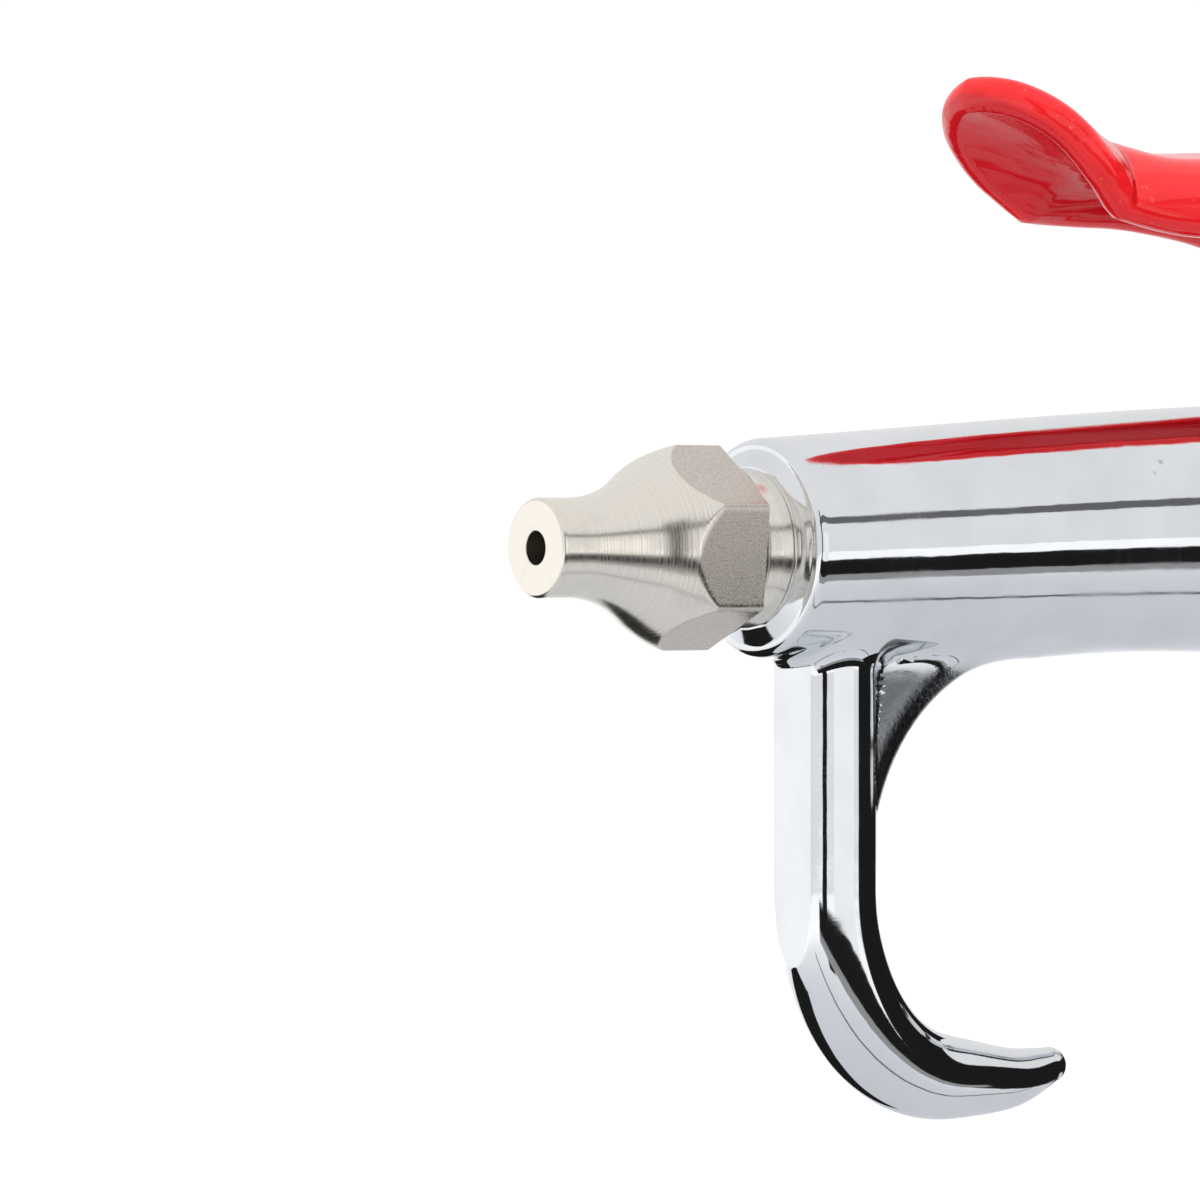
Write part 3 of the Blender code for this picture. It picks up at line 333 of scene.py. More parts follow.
def fair(place, value, at):
    """A fair curve through stations: cubics whose slope at a station is that between its neighbours."""
    slope = np.empty_like(value)
    slope[1:-1] = (value[2:] - value[:-2]) / (place[2:] - place[:-2])
    slope[0] = (value[1] - value[0]) / (place[1] - place[0])
    slope[-1] = (value[-1] - value[-2]) / (place[-1] - place[-2])
    inside = np.clip(at, place[0], place[-1])
    left = np.clip(np.searchsorted(place, inside, side="right") - 1, 0, len(place) - 2)
    span = place[left + 1] - place[left]
    t = (inside - place[left]) / span
    curve = (
        value[left] * (2 * t**3 - 3 * t**2 + 1) + slope[left] * span * (t**3 - 2 * t**2 + t)
        + value[left + 1] * (3 * t**2 - 2 * t**3) + slope[left + 1] * span * (t**3 - t**2)
    )
    past = at - inside
    return curve + past * np.where(past > 0, slope[-1], slope[0])


def ease(value):
    """A smooth step from nought to one."""
    value = np.clip(value, 0.0, 1.0)
    return value**2 * (3 - 2 * value)


def barrel_oval(x):
    """Middle height, half height and half width of the barrel's oval section at x."""
    back, *sizes = BARREL_STATIONS.T
    top, bottom, half_width = (fair(back, size, x - front_x) for size in sizes)
    return (top - bottom) / 2, (top + bottom) / 2, half_width


def soft_least(a, b, blend):
    """The smaller of two distances, with the corner where they cross rounded off over `blend`."""
    near = np.maximum(blend - np.abs(a - b), 0.0) / blend
    return np.minimum(a, b) - near**2 * blend / 4


def outside_casting(points):
    """How far points lie outside the metal, or under zero in it.

    The barrel is an oval, the hook's stem an upright rod, the web a slab held between the stem and a
    quarter of an ellipse, the bead a rod along that quarter, and the bosses upright rods. The least
    of their distances is taken, softly where one grows out of another with a cast fillet.
    """
    x, y, z = points[..., 0], points[..., 1], points[..., 2]
    middle, half_height, half_width = barrel_oval(np.maximum(x, front_x + FRONT_RIM_ROUND))
    share = np.hypot(y / half_width, (z - middle) / half_height)
    barrel = (share - 1) * (half_width + half_height) / 2
    stem = np.maximum(np.hypot(x - stem_x, y) - HOOK_BAR_RADIUS, z)
    across = np.minimum(x - bead_centre_x, 0.0) / BEAD_REACH
    up = (z - bead_centre_z) / bead_rise
    within = (1 - np.hypot(across, up)) * (BEAD_REACH + bead_rise) / 2
    turned = np.clip(np.arctan2(up, -across) / (pi / 2), 0.0, 1.0)
    bead_radius = BEAD_RADIUS + (BEAD_ROOT_RADIUS - BEAD_RADIUS) * (1 - turned) ** 2
    sinking = BEAD_RUN_OUT * np.maximum(x - bead_centre_x, 0.0)
    bead = np.maximum.reduce([np.hypot(within, y) - bead_radius + sinking, bead_centre_z - z, z])
    slab = np.maximum.reduce([np.abs(y) - WEB_HALF_THICKNESS, stem_x - x, within, z])
    hook = soft_least(np.minimum(stem, bead), slab, WEB_FILLET)
    guide = np.maximum(np.hypot(x - valve_x, y) - GUIDE_BOSS_RADIUS, -z)
    chamber = np.maximum(np.hypot(x - valve_x, y) - CHAMBER_BOSS_RADIUS, z)
    metal = soft_least(barrel, hook, BARREL_FILLET)
    return soft_least(soft_least(metal, guide, BARREL_FILLET), chamber, BARREL_FILLET)


def out_to_skin(start, direction, plain, spare):
    """Where rays leave the metal, found by halving the stretch that holds the skin.

    A ray still in metal `spare` past its plain radius is inside a neighbour, and stops there out of
    sight. Skins sink a hair as they rise, so that two of them cross cleanly along a fillet's middle.
    """
    low, high = 0.5 * plain, plain + spare
    buried = outside_casting(start + high[..., None] * direction) < 0
    for _ in range(SKIN_HALVINGS):
        middle = (low + high) / 2
        metal = outside_casting(start + middle[..., None] * direction) < 0
        low, high = np.where(metal, middle, low), np.where(metal, high, middle)
    reach = np.where(buried, plain + spare, (low + high) / 2)
    return start + (reach - SKIN_SINK * ease((reach - plain) / spare))[..., None] * direction


def grid_faces(rows, columns, round_rows, round_columns):
    """Four-sided faces between neighbouring rows and columns of a grid, closed round where asked."""
    row = np.arange(rows if round_rows else rows - 1)[:, None]
    column = np.arange(columns if round_columns else columns - 1)[None, :]
    after_row, after_column = (row + 1) % rows, (column + 1) % columns
    corners = (
        row * columns + column, row * columns + after_column,
        after_row * columns + after_column, after_row * columns + column,
    )
    return np.stack(corners, axis=-1).reshape(-1, 4)


def piece_of(name, skins, materials, masks=None, crease=radians(50.0)):
    """One object from closed skins: (points in rows and columns, rows closed, columns closed, material).

    `masks` are values for every point, kept on the mesh as named attributes.
    """
    points, faces, finishes, count = [], [], [], 0
    for skin, round_rows, round_columns, finish in skins:
        made = grid_faces(skin.shape[0], skin.shape[1], round_rows, round_columns) + count
        points.append(skin.reshape(-1, 3))
        faces.append(made)
        finishes.append(np.full(len(made), finish))
        count += skin.shape[0] * skin.shape[1]
    points, faces, finishes = np.concatenate(points), np.concatenate(faces), np.concatenate(finishes)
    mesh = bpy.data.meshes.new(name)
    mesh.vertices.add(len(points))
    mesh.vertices.foreach_set("co", points.astype(np.float32).ravel())
    mesh.loops.add(faces.size)
    mesh.loops.foreach_set("vertex_index", faces.astype(np.int32).ravel())
    mesh.polygons.add(len(faces))
    mesh.polygons.foreach_set("loop_start", np.arange(0, faces.size, 4, dtype=np.int32))
    for material in materials:
        mesh.materials.append(material)
    mesh.polygons.foreach_set("material_index", finishes.astype(np.int32))
    for mask_name, values in (masks or {}).items():
        layer = mesh.attributes.new(mask_name, "FLOAT", "POINT")
        layer.data.foreach_set("value", values.astype(np.float32).ravel())
    mesh.update(calc_edges=True)
    shape = bmesh.new()
    shape.from_mesh(mesh)
    bmesh.ops.remove_doubles(shape, verts=shape.verts, dist=MERGE)
    bmesh.ops.recalc_face_normals(shape, faces=shape.faces)
    shape.to_mesh(mesh)
    shape.free()
    mesh.shade_smooth()
    mesh.set_sharp_from_angle(angle=crease)
    piece = bpy.data.objects.new(name, mesh)
    bpy.context.scene.collection.objects.link(piece)
    return piece


def barrel_skin():
    """Oval rings along the barrel: front bore, lip, shallow cone, rounded rim, barrel, rear face, bore.

    Each ring is a middle plus a half width and a half height on the cosine and sine of an angle.
    """
    quarter = np.linspace(0.0, pi / 2, 9)
    lip = [
        (BORE_DEPTH, 0.0), (BORE_DEPTH, FRONT_BORE_RADIUS), (-FRONT_LIP_RISE, FRONT_BORE_RADIUS),
        (-FRONT_LIP_RISE, COLLAR_RADIUS),
    ]
    facing = np.linspace(0.0, 1.0, 8)
    cone = np.stack([
        -FRONT_LIP_RISE * (1 - facing),
        COLLAR_RADIUS + (FRONT_RADIUS - FRONT_RIM_ROUND - COLLAR_RADIUS) * facing,
    ], axis=-1)
    rim = np.stack([
        FRONT_RIM_ROUND * (1 - np.cos(quarter)),
        FRONT_RADIUS - FRONT_RIM_ROUND * (1 - np.sin(quarter)),
    ], axis=-1)
    front = np.concatenate([lip, cone[1:], rim[1:-1]])
    angle = np.linspace(0.0, 2 * pi, 192, endpoint=False)
    circle = np.stack([np.zeros_like(angle), np.cos(angle), np.sin(angle)], axis=-1)
    front_rings = front[:, None, 1:] * circle + np.array([1.0, 0.0, 0.0]) * (front_x + front[:, None, :1])

    stretches = (FRONT_RIM_ROUND, 0.003, 0.013, 0.030, 0.074, 0.118, rear_x - REAR_EDGE_ROUND - front_x)
    counts = (8, 66, 60, 50, 120, 16)
    x = front_x + np.concatenate([
        np.linspace(low, high, count, endpoint=False)
        for low, high, count in zip(stretches, stretches[1:], counts)
    ] + [[stretches[-1]]])[:, None]
    middle, half_height, half_width = barrel_oval(x)
    oval = (0.0 * x, half_width * np.cos(angle), half_height * np.sin(angle))
    ray = np.stack(np.broadcast_arrays(*oval), axis=-1)
    plain = np.linalg.norm(ray, axis=-1)
    start = np.stack(np.broadcast_arrays(x, 0.0, middle + 0.0 * angle), axis=-1)
    rings = out_to_skin(start, ray / plain[..., None], plain, SKIN_SPARE)

    rear_round = REAR_RADIUS - REAR_EDGE_ROUND * (1 - np.cos(quarter[1:]))
    rear = np.concatenate([
        np.stack([rear_x - REAR_EDGE_ROUND * (1 - np.sin(quarter[1:])), rear_round], axis=-1),
        [(rear_x, REAR_BORE_RADIUS), (rear_x - BORE_DEPTH, REAR_BORE_RADIUS), (rear_x - BORE_DEPTH, 0.0)],
    ])
    rear_rings = rear[:, None, 1:] * circle + np.array([1.0, 0.0, 0.0]) * rear[:, None, :1]
    return np.concatenate([front_rings, rings, rear_rings])


def swept(centre, radius, sides, solved):
    """Rings round a path in the XZ plane, square to it, let out to the casting's skin where solved."""
    ahead = np.gradient(centre, axis=0)
    ahead /= np.linalg.norm(ahead, axis=1, keepdims=True)
    side = np.stack([ahead[:, 2], np.zeros(len(ahead)), -ahead[:, 0]], axis=-1)
    angle = np.linspace(0.0, 2 * pi, sides, endpoint=False)[None, :, None]
    ray = np.cos(angle) * side[:, None, :] + np.sin(angle) * np.array([0.0, 1.0, 0.0])
    plain = np.broadcast_to(radius[:, None], ray.shape[:2])
    start = np.broadcast_to(centre[:, None, :], ray.shape)
    rings = start + plain[..., None] * ray
    return np.where(solved[:, None, None], out_to_skin(start, ray, plain, SKIN_SPARE), rings)


def filed(points):
    """Points of the hook with those ahead of the filed plane moved back to it."""
    flat_x = stem_x - HOOK_BAR_RADIUS + HOOK_FLAT_DEPTH
    ahead = (points[..., 2] < HOOK_FLAT_TOP) & (points[..., 0] < flat_x)
    return np.stack([np.where(ahead, flat_x, points[..., 0]), points[..., 1], points[..., 2]], axis=-1)


def hook_skin():
    """The hook: a bar down the stem, round an elliptic bend and out to a slim tip, its front filed flat.

    The rings are the bar's; those beside the barrel and web go out to the common skin. Points ahead of
    the filed plane are moved back to it.
    """
    bend_rise = HOOK_DROP - HOOK_STRAIGHT_END
    bottom_x = stem_x + HOOK_REACH
    turn = np.linspace(0.0, pi / 2, 13)
    tip_share = np.array([0.53, 0.73, 0.84])
    straight = np.linspace(-0.5 * FRONT_RADIUS, -HOOK_STRAIGHT_END, 9)[:-1]
    tip_lift = np.array([-0.0004, 0.0002, 0.0005])
    x = np.concatenate([
        np.full(8, stem_x), stem_x + HOOK_REACH * (1 - np.cos(turn)), bottom_x + HOOK_TIP_LENGTH * tip_share])
    z = np.concatenate([
        straight, -HOOK_STRAIGHT_END - bend_rise * np.sin(turn), -HOOK_DROP + tip_lift])
    slimming = fair(np.array([0.0, 0.33, 0.66, 1.0]), np.array([1.0, 1.0, 0.95, 0.84]), turn / (pi / 2))
    radius = HOOK_BAR_RADIUS * np.concatenate([
        np.ones(8), slimming, [0.60, 0.47, HOOK_TIP_RADIUS / HOOK_BAR_RADIUS]])
    station = np.concatenate([[0.0], np.cumsum(np.hypot(np.diff(x), np.diff(z)))])
    root_end = (FRONT_RADIUS - 0.5 * FRONT_RADIUS) + 0.003
    along = np.concatenate([
        np.linspace(0.0, 0.003, 6, endpoint=False), np.linspace(0.003, root_end, 70, endpoint=False),
        np.linspace(root_end, station[-1], 290),
    ])
    centre = np.stack([fair(station, x, along), np.zeros(len(along)), fair(station, z, along)], axis=-1)
    bar = fair(station, radius, along)
    path = np.concatenate([centre, bar[:, None]], axis=-1)
    smooth = path.copy()
    for _ in range(HOOK_PATH_PASSES):
        smooth[1:-1] = (smooth[:-2] + 2 * smooth[1:-1] + smooth[2:]) / 4
    past_straight = along - station[len(straight)]
    path += ease((past_straight - HOOK_EVEN_START) / HOOK_EVEN_RUN)[:, None] * (smooth - path)
    centre, bar = path[:, :3], path[:, 3]
    rings = swept(centre, bar, 144, centre[:, 2] > -HOOK_STRAIGHT_END)
    heading = (centre[-1] - centre[-2]) / np.linalg.norm(centre[-1] - centre[-2])
    closing = np.linspace(0.0, pi / 2, 10)[1:, None, None]
    tip = centre[-1] + (rings[-1] - centre[-1]) * np.cos(closing) + bar[-1] * np.sin(closing) * heading
    root = np.broadcast_to(centre[0], rings[:1].shape)
    return filed(np.concatenate([root, rings, tip]))


def bead_skin():
    """The bead: rings along a quarter of an ellipse from the stem to the barrel's underside."""
    turn = np.linspace(0.0, pi / 2, 160)
    centre = np.stack([
        stem_x + BEAD_REACH * (1 - np.cos(turn)), np.zeros(160), bead_centre_z + bead_rise * np.sin(turn),
    ], axis=-1)
    radius = BEAD_RADIUS + (BEAD_ROOT_RADIUS - BEAD_RADIUS) * (1 - turn / (pi / 2)) ** 2
    rings = swept(centre, radius, 96, np.full(160, True))
    rings[..., 0] = np.maximum(rings[..., 0], stem_x)
    return np.concatenate([
        np.broadcast_to(centre[0], rings[:1].shape), rings, np.broadcast_to(centre[-1], rings[:1].shape),
    ])


def web_skin():
    """The web: its two faces over a grid from the stem's middle to the bead's, level rows upwards.

    At each point the face stands off the middle plane as far as the common skin does.
    """
    up = np.linspace(0.0, 1.0, 130)[:, None] ** 0.8
    over = np.linspace(0.0, 1.0, 110)[None, :]
    z = bead_centre_z + (WEB_TOP - bead_centre_z) * up
    bead_x = stem_x + BEAD_REACH * (1 - np.sqrt(1 - ((z - bead_centre_z) / bead_rise) ** 2))
    x = stem_x + (bead_x - stem_x) * over
    start = np.stack(np.broadcast_arrays(x, 0.0, z + 0.0 * over), axis=-1)
    plain = np.full(x.shape, WEB_RAY_PLAIN)
    near = out_to_skin(start, np.array([0.0, -1.0, 0.0]), plain, WEB_RAY_SPARE)
    far = near * np.array([1.0, -1.0, 1.0])
    return np.concatenate([near, far[:, ::-1]], axis=1)


def dressed(outline, steps=6):
    """An outline with rounded corners: each (out, height, rounding) corner becomes a tangent arc.

    The arc is the rational quadratic with the corner as its middle point and the sine of half the
    corner's angle as its weight. A point just before and after holds the straight sides straight.
    """
    corners = np.array([corner[:2] for corner in outline])
    roundings = [corner[2] for corner in outline[1:]]
    made = [corners[:1]]
    for before, corner, after, rounding in zip(corners, corners[1:], corners[2:], roundings):
        back, on = before - corner, after - corner
        back_length, on_length = np.linalg.norm(back), np.linalg.norm(on)
        back, on = back / back_length, on / on_length
        half_angle = np.arccos(np.clip(back @ on, -0.9999, 0.9999)) / 2
        reach = min(rounding / np.tan(half_angle), 0.42 * back_length, 0.42 * on_length)
        t = np.linspace(0.0, 1.0, steps)[:, None]
        weight = np.sin(half_angle)
        shares = ((1 - t) ** 2, 2 * t * (1 - t) * weight, t**2)
        pulls = (corner + reach * back, corner, corner + reach * on)
        arc = sum(share * pull for share, pull in zip(shares, pulls)) / sum(shares)
        made += [corner[None] + 1.15 * reach * back, arc, corner[None] + 1.15 * reach * on]
    made.append(corners[-1:])
    return np.concatenate(made)


ALONG_X = np.array([(0, 1, 0), (0, 0, 1), (1, 0, 0)], dtype=float)
ALONG_Y = np.array([(0, 0, 1), (1, 0, 0), (0, 1, 0)], dtype=float)
ALONG_Z = np.eye(3)


def turned_skin(profile, axes, place, angle=None, radius=None):
    """A profile carried round an axis: out on the angle's cosine and sine, and height along the axis."""
    if angle is None:
        angle = np.linspace(0.0, 2 * pi, 128, endpoint=False)
    out = np.broadcast_to(profile[:, :1] if radius is None else radius, (len(profile), len(angle)))
    height = np.broadcast_to(profile[:, 1:2], out.shape)
    local = np.stack([out * np.cos(angle), out * np.sin(angle), height], axis=-1)
    return local @ axes + np.array(place)


def closed_rows(profile):
    """Whether a profile is a ring's, which closes on itself, and not one that ends on the axis."""
    return bool(profile[0, 0] > 0)


def lug_skin():
    """The hinge lug: an arch-topped outline, carried across the gun and drawn in round its edges."""
    arch = np.linspace(0.0, pi, 49)
    over_pin = np.stack([LUG_RADIUS * np.cos(arch), hinge_z + LUG_RADIUS * np.sin(arch)], axis=-1)
    outline = np.concatenate([[(LUG_RADIUS, LUG_FOOT)], over_pin, [(-LUG_RADIUS, LUG_FOOT)]])
    quarter = np.linspace(0.0, pi / 2, 7)
    inset = LUG_EDGE_ROUND * np.concatenate([1 - np.sin(quarter), 1 - np.sin(quarter[::-1])])
    reach = LUG_HALF - LUG_EDGE_ROUND * (1 - np.cos(quarter))
    y = np.concatenate([-reach, reach[::-1]])
    middle = np.array([0.0, hinge_z / 2])
    inset = np.concatenate([[LUG_RADIUS], inset, [LUG_RADIUS]])
    y = np.concatenate([[-LUG_HALF], y, [LUG_HALF]])
    share = 1 - inset[:, None, None] / LUG_RADIUS
    ring = middle + (outline - middle) * share
    return np.stack([
        hinge_x + ring[..., 0], np.broadcast_to(y[:, None], ring.shape[:2]), ring[..., 1],
    ], axis=-1)


def boss_skins():
    """The guide boss and the valve chamber's boss, turned forms let out to the fillets at the barrel."""
    skins = []
    for radius, end in ((GUIDE_BOSS_RADIUS, GUIDE_BOSS_TOP), (CHAMBER_BOSS_RADIUS, CHAMBER_BOSS_BOTTOM)):
        way = np.sign(end)
        quarter = np.linspace(0.0, pi / 2, 8)
        z = end - way * BOSS_EDGE_ROUND - np.linspace(0.0, abs(end) - BOSS_ROOT, 50)[::-1] * way
        angle = np.linspace(0.0, 2 * pi, 128, endpoint=False)
        ray = np.stack([np.cos(angle), np.sin(angle), 0 * angle], axis=-1)[None]
        start = np.stack(np.broadcast_arrays(valve_x, 0.0, z[:, None] + 0 * angle), axis=-1)
        wall = out_to_skin(start, ray, np.full(start.shape[:2], radius), SKIN_SPARE)
        edge = np.stack([radius - BOSS_EDGE_ROUND * (1 - np.cos(quarter)),
                         end - way * BOSS_EDGE_ROUND * (1 - np.sin(quarter))], axis=-1)
        top = turned_skin(np.concatenate([edge[1:], [(0.0, end)]]), ALONG_Z, (valve_x, 0, 0), angle)
        root = np.broadcast_to(np.array([valve_x, 0.0, z[0]]), wall[:1].shape)
        skins.append((np.concatenate([root, wall, top]), False, True, 0))
    return skins


def group(name, inputs, outputs):
    """An empty shader node group with named sockets, its nodes, and its input and output nodes."""
    tree = bpy.data.node_groups.new(name, "ShaderNodeTree")
    for socket, kind, value in inputs:
        made = tree.interface.new_socket(socket, in_out="INPUT", socket_type=kind)
        if value is not None:
            made.default_value = value
    for socket in outputs:
        tree.interface.new_socket(socket, in_out="OUTPUT", socket_type="NodeSocketFloat")
    nodes = Nodes(tree)
    return tree, nodes, nodes.add("NodeGroupInput"), nodes.add("NodeGroupOutput")


def buffing_group():
    """Polishing strokes: fine noise drawn out along the stroke, gathered in patches by coarse noise."""
    tree, nodes, given, result = group("buffing", [
        ("Stroke", "NodeSocketVector", None), ("Place", "NodeSocketVector", None),
    ], ["Height", "Haze"])
    fine = nodes.noise(given.outputs["Stroke"], 1.0, 6.0, 0.75)
    patches = nodes.between(nodes.noise(given.outputs["Place"], 160.0, 3.0, 0.6), 0.42, 0.66)
    height = nodes.maths("MULTIPLY", fine, nodes.maths("ADD", patches, 0.25))
    nodes.tree.links.new(height, result.inputs["Height"])
    haze = nodes.maths("MULTIPLY", nodes.between(fine, 0.45, 0.75), patches)
    nodes.tree.links.new(haze, result.inputs["Haze"])
    return tree


def pits_group():
    """Casting pits under the plate: sparse round dips, where cells lie close to their own seed."""
    tree, nodes, given, result = group("casting_pits", [
        ("Place", "NodeSocketVector", None), ("Spacing", "NodeSocketFloat", 150.0),
        ("Size", "NodeSocketFloat", 0.06),
    ], ["Depth"])
    cell = nodes.add("ShaderNodeTexVoronoi", {
        "Vector": given.outputs["Place"], "Scale": given.outputs["Spacing"]})
    chance = nodes.add("ShaderNodeSeparateColor", {"Color": cell.outputs["Color"]}).outputs[0]
    dip = nodes.between(cell.outputs["Distance"], 0.0, given.outputs["Size"], 1.0, 0.0)
    chosen = nodes.maths("GREATER_THAN", chance, 0.72)
    nodes.tree.links.new(nodes.maths("MULTIPLY", dip, chosen), result.inputs["Depth"])
    return tree


buffing = buffing_group()
casting_pits = pits_group()


def chrome(name, stroke, stroke_depth=2.4e-6, grain=0.0, shade=(0.86, 0.88, 0.91)):
    """Bright chrome. `stroke` stretches the buffing; `grain` is the cast roughness of the recess, and with it
    the recess gets painted shade, a near-black colour.
    """
    material, nodes = material_called(name)
    place = nodes.place()
    stretched = nodes.add("ShaderNodeMapping", {"Vector": place, "Scale": stroke}).outputs[0]
    marks = nodes.add("ShaderNodeGroup", {"Stroke": stretched, "Place": place}, node_tree=buffing)
    pits = nodes.add("ShaderNodeGroup", {"Place": place}, node_tree=casting_pits)
    cloud = nodes.noise(place, 210.0, 2.0)
    colour = nodes.blend(nodes.between(cloud, 0.3, 0.7), tuple(0.94 * c for c in shade), shade)
    colour = nodes.blend(pits.outputs["Depth"], colour, (0.30, 0.31, 0.33))
    rough = nodes.maths("MULTIPLY_ADD", marks.outputs["Haze"], 0.10, 0.045)
    ripple = nodes.bump(cloud, 3.2e-5)
    strokes = nodes.bump(marks.outputs["Height"], stroke_depth, ripple)
    last = nodes.bump(pits.outputs["Depth"], -6.0e-5, strokes)
    if grain:
        recess_grain_and_shade = nodes.add("ShaderNodeAttribute", attribute_name="recess_grain_and_shade").outputs["Fac"]
        peel = nodes.noise(place, 2300.0, 4.0, 0.62)
        last = nodes.bump(nodes.maths("MULTIPLY", peel, recess_grain_and_shade), grain, last)
        rough = nodes.maths("MULTIPLY_ADD", recess_grain_and_shade, 0.13, rough)
        # Painted shade: where the mask is one, the web's recess is coloured near black.
        colour = nodes.blend(nodes.maths("MULTIPLY", recess_grain_and_shade, 0.85), colour, (0.13, 0.14, 0.155))
    nodes.surface("ShaderNodeBsdfPrincipled", {
        "Base Color": colour, "Metallic": 1.0, "Roughness": rough, "Normal": last})
    return material


chrome_barrel = chrome("chrome_barrel", (5200.0, 260.0, 260.0), 4.2e-6)
chrome_hook = chrome("chrome_hook", (420.0, 420.0, 4200.0), 1.8e-6)
chrome_web = chrome("chrome_web", (900.0, 900.0, 900.0), 2.0e-6, grain=6.5e-5)

casting = piece_of("casting_barrel", [
    (barrel_skin(), False, True, 0), *boss_skins(), (lug_skin(), False, True, 0),
], [chrome_barrel])
hook_forms = [hook_skin(), bead_skin(), web_skin()]
# This mask carries the web's cast roughness and also its painted shade.
grain_and_shade_mask = [np.zeros(hook_forms[0].shape[0] * hook_forms[0].shape[1])]
for form in hook_forms[1:]:
    low_end = ease((form[..., 2] - bead_centre_z) / RECESS_FADE_LOW)
    grain_and_shade_mask.append((low_end * ease((WEB_TOP - form[..., 2]) / RECESS_FADE_TOP)).ravel())
hook = piece_of("casting_hook", [
    (form, False, True, finish) for form, finish in zip(hook_forms, (0, 1, 1))
], [chrome_hook, chrome_web], masks={"recess_grain_and_shade": np.concatenate(grain_and_shade_mask)})
for cast_form in (casting, hook):
    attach(cast_form, "body")
    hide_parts("body_casting")

# ---------------------------------------------------------------- nozzle
# The nozzle is turned from hexagonal brass bar and nickel plated. Its lathe rings still show on the
# flare and collar, and its flats keep the dull grain of the drawn bar.

NOZZLE_FLATS = 0.0140
NOZZLE_ROLL = radians(6.0)
NOZZLE_REACH = 0.0208
TIP_RADIUS = 0.00385
TIP_EDGE_ROUND = 0.00035
TIP_STRAIGHT = 0.0028
TIP_HOLE_RADIUS = 0.0013
TIP_HOLE_DEPTH = 0.0070
HEX_FRONT = 0.0081
HEX_REAR = 0.0034
FLARE_ANGLE = radians(37.5)
FLARE_END_ANGLE = radians(22.0)
NOZZLE_GAP = 0.00004
FLAT_EDGE_SOFT = 0.00012
CORNER_WORN = 0.00006
BAR_SPARE = 0.0002                        # turned outlines pass a hexagon's corners by this
HEX_CHAMFER = 0.0006


def hexagon_corner(flats):
    """From a hexagon's middle to its corner: half its width over the cosine of 30 degrees."""
    return flats / 2 / cos(pi / 6)


def hexagon_angles(steps, roll=0.0):
    """Angles round a hexagon, closer together towards its corners: a sine within each sixth."""
    within = pi / 6 * np.sin(pi / 2 * np.linspace(-1.0, 1.0, steps, endpoint=False))
    middle = np.arange(6)[:, None] * pi / 3
    return (middle + within).ravel() + roll, np.tile(within, 6)


def held_to_hexagon(profile, flats, within):
    """The lesser of the turned radius and the bar's: half the flats over the cosine from a flat's middle."""
    bar = flats / 2 / np.cos(within)[None, :]
    bar = soft_least(bar, np.full_like(bar, hexagon_corner(flats) - CORNER_WORN), FLAT_EDGE_SOFT)
    out = soft_least(np.broadcast_to(profile[:, :1], (len(profile), len(within))), bar, FLAT_EDGE_SOFT)
    return out, np.where(profile[:, :1] > bar, 1.0, 0.0)


def nozzle_profile():
    """The nozzle's turned outline: collar, hexagon, two tangent arcs down the flare, tip and hole."""
    corner = hexagon_corner(NOZZLE_FLATS)
    flare_start = -NOZZLE_REACH + TIP_STRAIGHT
    rise, run = corner - TIP_RADIUS, -HEX_FRONT - flare_start
    sine, cosine = sin(FLARE_ANGLE), 1 - cos(FLARE_ANGLE)
    sine_out = sin(FLARE_ANGLE) - sin(FLARE_END_ANGLE)
    cosine_out = cos(FLARE_END_ANGLE) - cos(FLARE_ANGLE)
    determinant = sine * cosine_out - sine_out * cosine
    hollow = (run * cosine_out - sine_out * rise) / determinant
    crown = (sine * rise - run * cosine) / determinant
    back_face = -FRONT_LIP_RISE - NOZZLE_GAP
    collar = dressed([
        (0.0040, back_face, 0), (COLLAR_RADIUS, back_face, 0.0002), (COLLAR_RADIUS, -HEX_REAR, 0.0002),
        (NOZZLE_FLATS / 2 - 0.0002, -HEX_REAR, 0.0001), (corner + BAR_SPARE, -HEX_REAR - HEX_CHAMFER, 0.0001),
        (corner + BAR_SPARE, -HEX_FRONT, 0),
    ])
    hexagon_run = np.stack([np.full(40, corner + BAR_SPARE),
                            np.linspace(-HEX_REAR - 0.0009, -HEX_FRONT, 40, endpoint=False)], axis=-1)
    collar = np.concatenate([collar[:-1], hexagon_run])
    falling = np.linspace(FLARE_END_ANGLE, FLARE_ANGLE, 60)
    crown_arc = np.stack([corner - crown * (cos(FLARE_END_ANGLE) - np.cos(falling)),
                          -HEX_FRONT - crown * (np.sin(falling) - sin(FLARE_END_ANGLE))], axis=-1)
    levelling = np.linspace(FLARE_ANGLE, 0.0, 50)[1:]
    hollow_arc = np.stack([TIP_RADIUS + hollow * (1 - np.cos(levelling)),
                           flare_start + hollow * np.sin(levelling)], axis=-1)
    tip = dressed([
        (TIP_RADIUS, flare_start - 0.0001, 0), (TIP_RADIUS, -NOZZLE_REACH, TIP_EDGE_ROUND),
        (TIP_HOLE_RADIUS, -NOZZLE_REACH, 0.00008), (TIP_HOLE_RADIUS, -NOZZLE_REACH + TIP_HOLE_DEPTH, 0.0001),
        (0.0, -NOZZLE_REACH + TIP_HOLE_DEPTH, 0),
    ], steps=8)
    neck = np.array([(0.0, back_face + 0.0012), (0.0040, back_face + 0.0012)])
    return np.concatenate([neck, collar, crown_arc, hollow_arc, tip])


